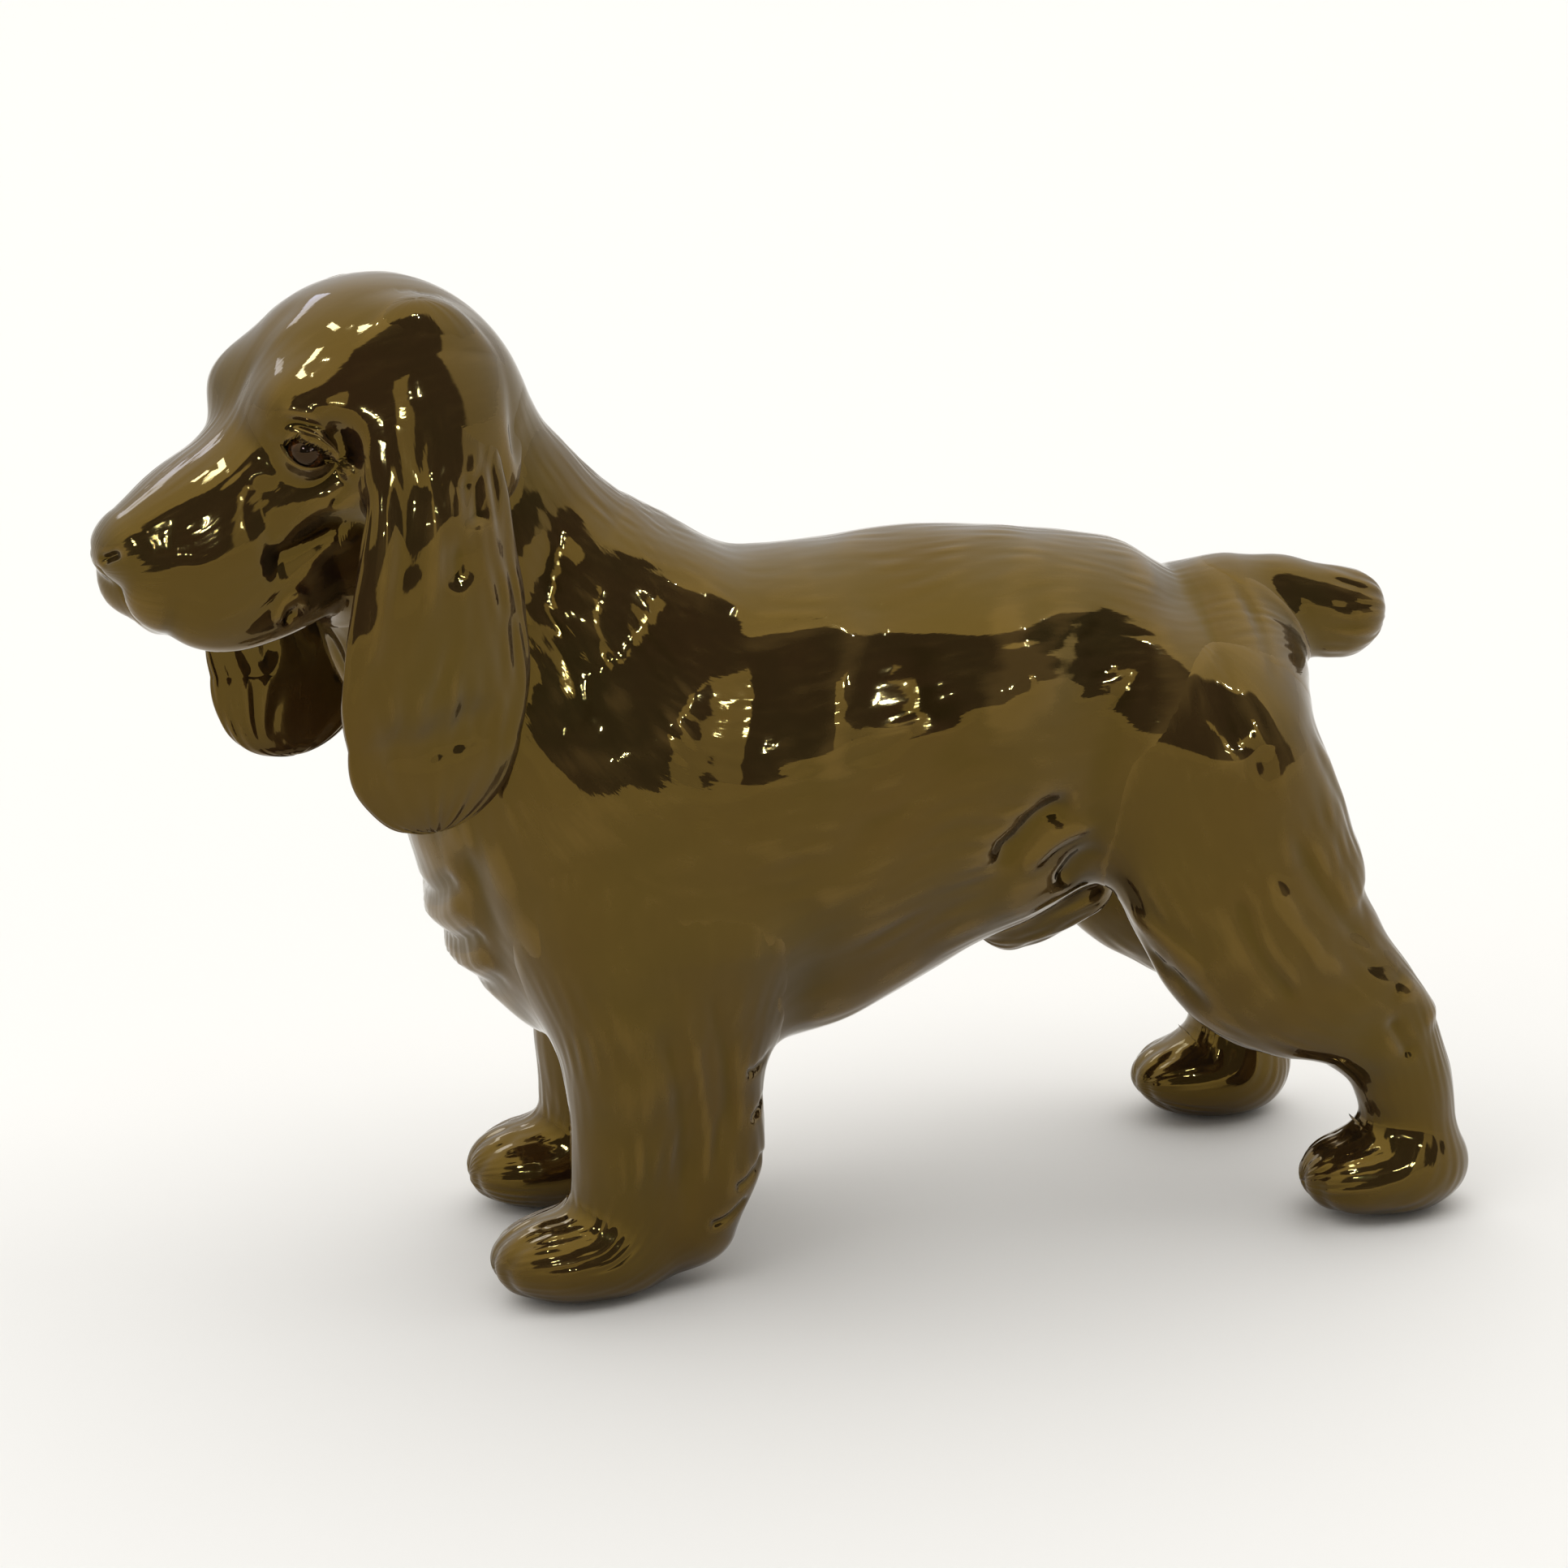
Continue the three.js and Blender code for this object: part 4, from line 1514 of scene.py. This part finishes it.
@dataclass
class Eye:
    """An eye bead: a ball with a slight corneal bulge, half under its lids."""

    side: Side = Side.LEFT
    bulge: float = 0.1
    rings: int = 60
    spokes: int = 72

    def build(self) -> bpy.types.Object:
        """Builds the bead round the middle of its solid.

        A point is centre + r (1 + bulge exp(-(a / 0.6)^2)) times the unit direction at angle a from
        the way the eye looks, on a grid of a and the turn about that way.

        Returns:
            The finished object.
        """
        node = f"{self.side.word}_eye"
        low, high = (np.array(c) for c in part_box(node))
        centre, radius = (low + high) / 2, float((high - low).min() / 2)
        look = HEAD.basis.T @ EyeSocket(self.side).frame()[1][2]
        turn = Vector((0.0, 0.0, 1.0)).rotation_difference(Vector(look)).to_matrix()
        a = np.linspace(0.0, np.pi, self.rings + 2)[1:-1, None]
        b = np.linspace(0.0, 2.0 * np.pi, self.spokes, endpoint=False)[None]
        distance = radius * (1.0 + self.bulge * np.exp(-((a / 0.6) ** 2)))
        unit = np.stack([np.sin(a) * np.cos(b), np.sin(a) * np.sin(b), np.cos(a) * np.ones_like(b)], -1)
        grid = (unit * distance[..., None]) @ np.array(turn).T + centre
        bead = Sheath((), (0.0, 0.0), self.rings, self.spokes)
        bead.turn = b[0]
        bead.points = PLACEMENT.dog(grid)
        bead.face()
        made = bead.mesh(node)
        made.name = f"{node}_bead"
        finish = EyeEnamel(f"{node}_enamel", tuple(centre), tuple(look), radius)
        made.data.materials.append(finish.material())
        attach(made, "root")
        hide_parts(node)
        LOG.info("%s: %d faces", made.name, len(made.data.polygons))
        return made


# ---- Studio -------------------------------------------------------------------------------------


@dataclass(frozen=True)
class Lamp:
    """A small lamp: the way to it as azimuth from +Y towards +X and elevation, its distance and size."""

    azimuth: float
    elevation: float
    distance: float
    size: tuple[float, float]
    power: float
    roll: float = 0.0
    colour: tuple[float, float, float] = (0.4, 0.52, 1.0)

    def hang(self, name: str, aim: Vector) -> None:
        """Adds the lamp as an area light that faces aim and shows only in glossy surfaces."""
        a, e = math.radians(self.azimuth), math.radians(self.elevation)
        way = Vector((math.sin(a) * math.cos(e), math.cos(a) * math.cos(e), math.sin(e)))
        light = bpy.data.lights.new(name, "AREA")
        light.shape = "RECTANGLE"
        light.size, light.size_y = self.size
        light.energy = self.power
        light.color = self.colour
        lamp = bpy.data.objects.new(name, light)
        facing = way.to_track_quat("Z", "Y").to_matrix().to_4x4()
        rolled = Matrix.Rotation(math.radians(self.roll), 4, "Z")
        lamp.matrix_world = Matrix.Translation(aim + way * self.distance) @ facing @ rolled
        lamp.visible_diffuse = False
        bpy.context.scene.collection.objects.link(lamp)


@dataclass
class Studio:
    """Board, surroundings, lamps and camera."""

    azimuth: float = 164.03
    elevation: float = 18.77
    distance: float = 0.520
    lens: float = 93.6
    aim: tuple[float, float, float] = (-MODEL_MIDDLE, 0.0, 60.35)
    opening_azimuth: float = -8.0
    opening_elevation: float = 26.0
    opening_half: tuple[float, float] = (58.0, 29.0)

    def floor(self) -> None:
        """A wide flat board, slightly crowned up at its far rim by the square of the radius."""
        radius = np.linspace(0.0, 1.0, 41)[1:, None] ** 2 * 4.0
        turn = np.linspace(0.0, 2.0 * np.pi, 96, endpoint=False)[None]
        rise = 0.5 * smoothstep(2.2, 4.0, radius) * np.ones_like(turn)
        ring = np.stack([radius * np.cos(turn), radius * np.sin(turn), rise], -1)
        points = np.concatenate([ring.reshape(-1, 3), [[0.0, 0.0, 0.0]]])
        index = np.arange(ring.shape[0] * ring.shape[1]).reshape(ring.shape[:2])
        after = np.roll(index, -1, 1)
        quads = np.stack([index[:-1], index[1:], after[1:], after[:-1]], -1).reshape(-1, 4)
        middle = np.stack([np.full(index.shape[1], len(points) - 1), index[0], after[0]], -1)
        mesh = bpy.data.meshes.new("board")
        mesh.from_pydata(points.tolist(), [], quads.tolist() + middle.tolist())
        mesh.shade_smooth()
        mesh.materials.append(PaleTable().material())
        board = bpy.data.objects.new("board", mesh)
        bpy.context.scene.collection.objects.link(board)
        board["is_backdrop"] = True

    def surroundings(self) -> None:
        """A pale room with a dark opening and a low pale pillar before it, which the glaze mirrors.

        The opening is a rounded box in azimuth and elevation: its edge is where
        ((az / half width)^4 + (el / half height)^4) reaches 1, roughened by noise.
        """
        world = bpy.data.worlds.new("studio")
        bpy.context.scene.world = world
        world.use_nodes = True
        g = Graph(world.node_tree)
        way = g.node("ShaderNodeTexCoord").outputs["Generated"]
        x, y, z = (Value(g, s) for s in g.node("ShaderNodeSeparateXYZ", Vector=way).outputs)
        middle = math.radians(self.opening_azimuth)
        c, s = math.cos(middle), math.sin(middle)
        ahead, across = y * c + x * s, x * c - y * s
        wide, high = self.opening_half
        azimuth = g.math("ARCTAN2", across, ahead) / math.radians(wide)
        elevation = (g.math("ARCSINE", z) - math.radians(self.opening_elevation)) / math.radians(high)
        edge = g.noise(way, 4.0, 3.0) - 0.5
        shape = azimuth**4.0 + elevation**4.0 + edge * 0.9
        pillar = g.math("ABSOLUTE", azimuth * wide + 20.0 + edge * 16.0)
        low = g.ramp(elevation * high, 3.0, 6.0)
        shape = shape + 2.0 * (1.0 - g.ramp(pillar, 6.0, 7.2)) * (1.0 - low)
        dark = 1.0 - g.ramp(shape, 0.9, 1.12)
        height = g.ramp(z, -0.1, 0.9)
        wall = g.mix(height, (0.80, 0.79, 0.77, 1.0), (1.6, 1.58, 1.54, 1.0))
        colour = g.mix(dark, wall, (0.14, 0.135, 0.12, 1.0))
        background = g.node("ShaderNodeBackground", Color=colour, Strength=1.0)
        g.node("ShaderNodeOutputWorld", Surface=background.outputs[0])

    def lamps(self) -> None:
        """Three panels, a strip and a scatter of small bulbs, seen as highlights and sparkles."""
        aim = Vector(PLACEMENT.frame(np.array(self.aim) + np.array([MODEL_MIDDLE, 0.0, 0.0])))
        Lamp(80.0, 73.0, 0.9, (0.16, 0.08), 1.8, roll=10.0).hang("ceiling_panel", aim)
        Lamp(150.0, 44.0, 1.0, (0.42, 0.16), 1.3).hang("far_panel", aim)
        Lamp(33.0, 36.0, 0.9, (0.085, 0.05), 2.0).hang("near_panel", aim)
        Lamp(-23.0, 20.0, 0.9, (0.07, 0.01), 0.4, roll=-25.0).hang("strip", aim)
        scatter = np.random.default_rng(11)
        groups = (
            (-31.0, 27.0, 6.0, 4),
            (-55.0, 52.0, 8.0, 2),
            (3.0, 20.0, 6.0, 3),
            (22.0, 33.0, 6.0, 3),
            (38.0, 78.0, 6.0, 2),
        )
        for azimuth, elevation, spread, count in groups:
            for _ in range(count):
                way = spread * scatter.uniform(-1.0, 1.0, 2)
                size = 0.004 + 0.003 * scatter.random()
                bulb = Lamp(azimuth + way[0], elevation + 0.6 * way[1], 0.8, (size, size), 0.2)
                bulb.hang("bulb", aim)

    def camera(self) -> None:
        """The camera, looking at the middle of the figure."""
        a, e = math.radians(self.azimuth), math.radians(self.elevation)
        way = Vector((math.sin(a) * math.cos(e), -math.cos(a) * math.cos(e), math.sin(e)))
        aim = Vector(np.array(self.aim) * MM)
        lens = bpy.data.cameras.new("camera")
        lens.lens = self.lens
        lens.sensor_width = 36.0
        lens.clip_start = 0.01
        camera = bpy.data.objects.new("camera", lens)
        facing = way.to_track_quat("Z", "Y").to_matrix().to_4x4()
        camera.matrix_world = Matrix.Translation(aim + way * self.distance) @ facing
        bpy.context.scene.collection.objects.link(camera)
        bpy.context.scene.camera = camera

    def build(self) -> None:
        """Sets up the whole studio."""
        self.floor()
        self.surroundings()
        self.lamps()
        self.camera()
        bpy.context.scene.view_settings.view_transform = "Standard"


# ---- Assembly -----------------------------------------------------------------------------------


def build_dog() -> None:
    """Builds every casting beside the ones it is luted to."""
    torso, head, tail, tuft = Torso(), Head(), Tail(), BellyTuft()
    fore = {side: Foreleg(side=side) for side in Side}
    hind = {side: Hindleg(side=side) for side in Side}
    ears = {side: Ear(side=side) for side in Side}
    to_torso = torso.mass
    to_head = only_near(head.mass, (50, 2, 108), 48)
    joined = [(to_head, head.fillet)]
    joined += [(only_near(leg.mass, (20, leg.side.value * 14, 32), 46), leg.fillet) for leg in fore.values()]
    joined += [(only_near(leg.mass, (-64, leg.side.value * 15, 38), 52), leg.fillet) for leg in hind.values()]
    joined += [(only_near(tail.mass, (-67, 0, 79), 24), tail.fillet)]
    joined += [(only_near(tuft.mass, (-35, 0, 41), 20), tuft.fillet)]
    torso.build(joined)
    on_head = [
        (only_near(ear.mass, (53, 2 + 16 * side.value, 90), 40), ear.fillet) for side, ear in ears.items()
    ]
    head.build([(to_torso, head.fillet), *on_head])
    for leg in (*fore.values(), *hind.values(), tail, tuft):
        leg.build([(to_torso, leg.fillet)])
    for ear in ears.values():
        ear.build([(head.mass, ear.fillet)])
    for side in Side:
        Eye(side).build()


def main() -> None:
    """Builds the figure and its studio."""
    logging.basicConfig(level=logging.INFO, format="%(message)s")
    build_dog()
    Studio().build()
    sizes = {"cad": CAD_BOX, "visual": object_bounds()}
    plain = {name: [[float(n) for n in corner] for corner in box] for name, box in sizes.items()}
    LOG.info("boxes %s", plain)


if __name__ == "__main__":
    main()
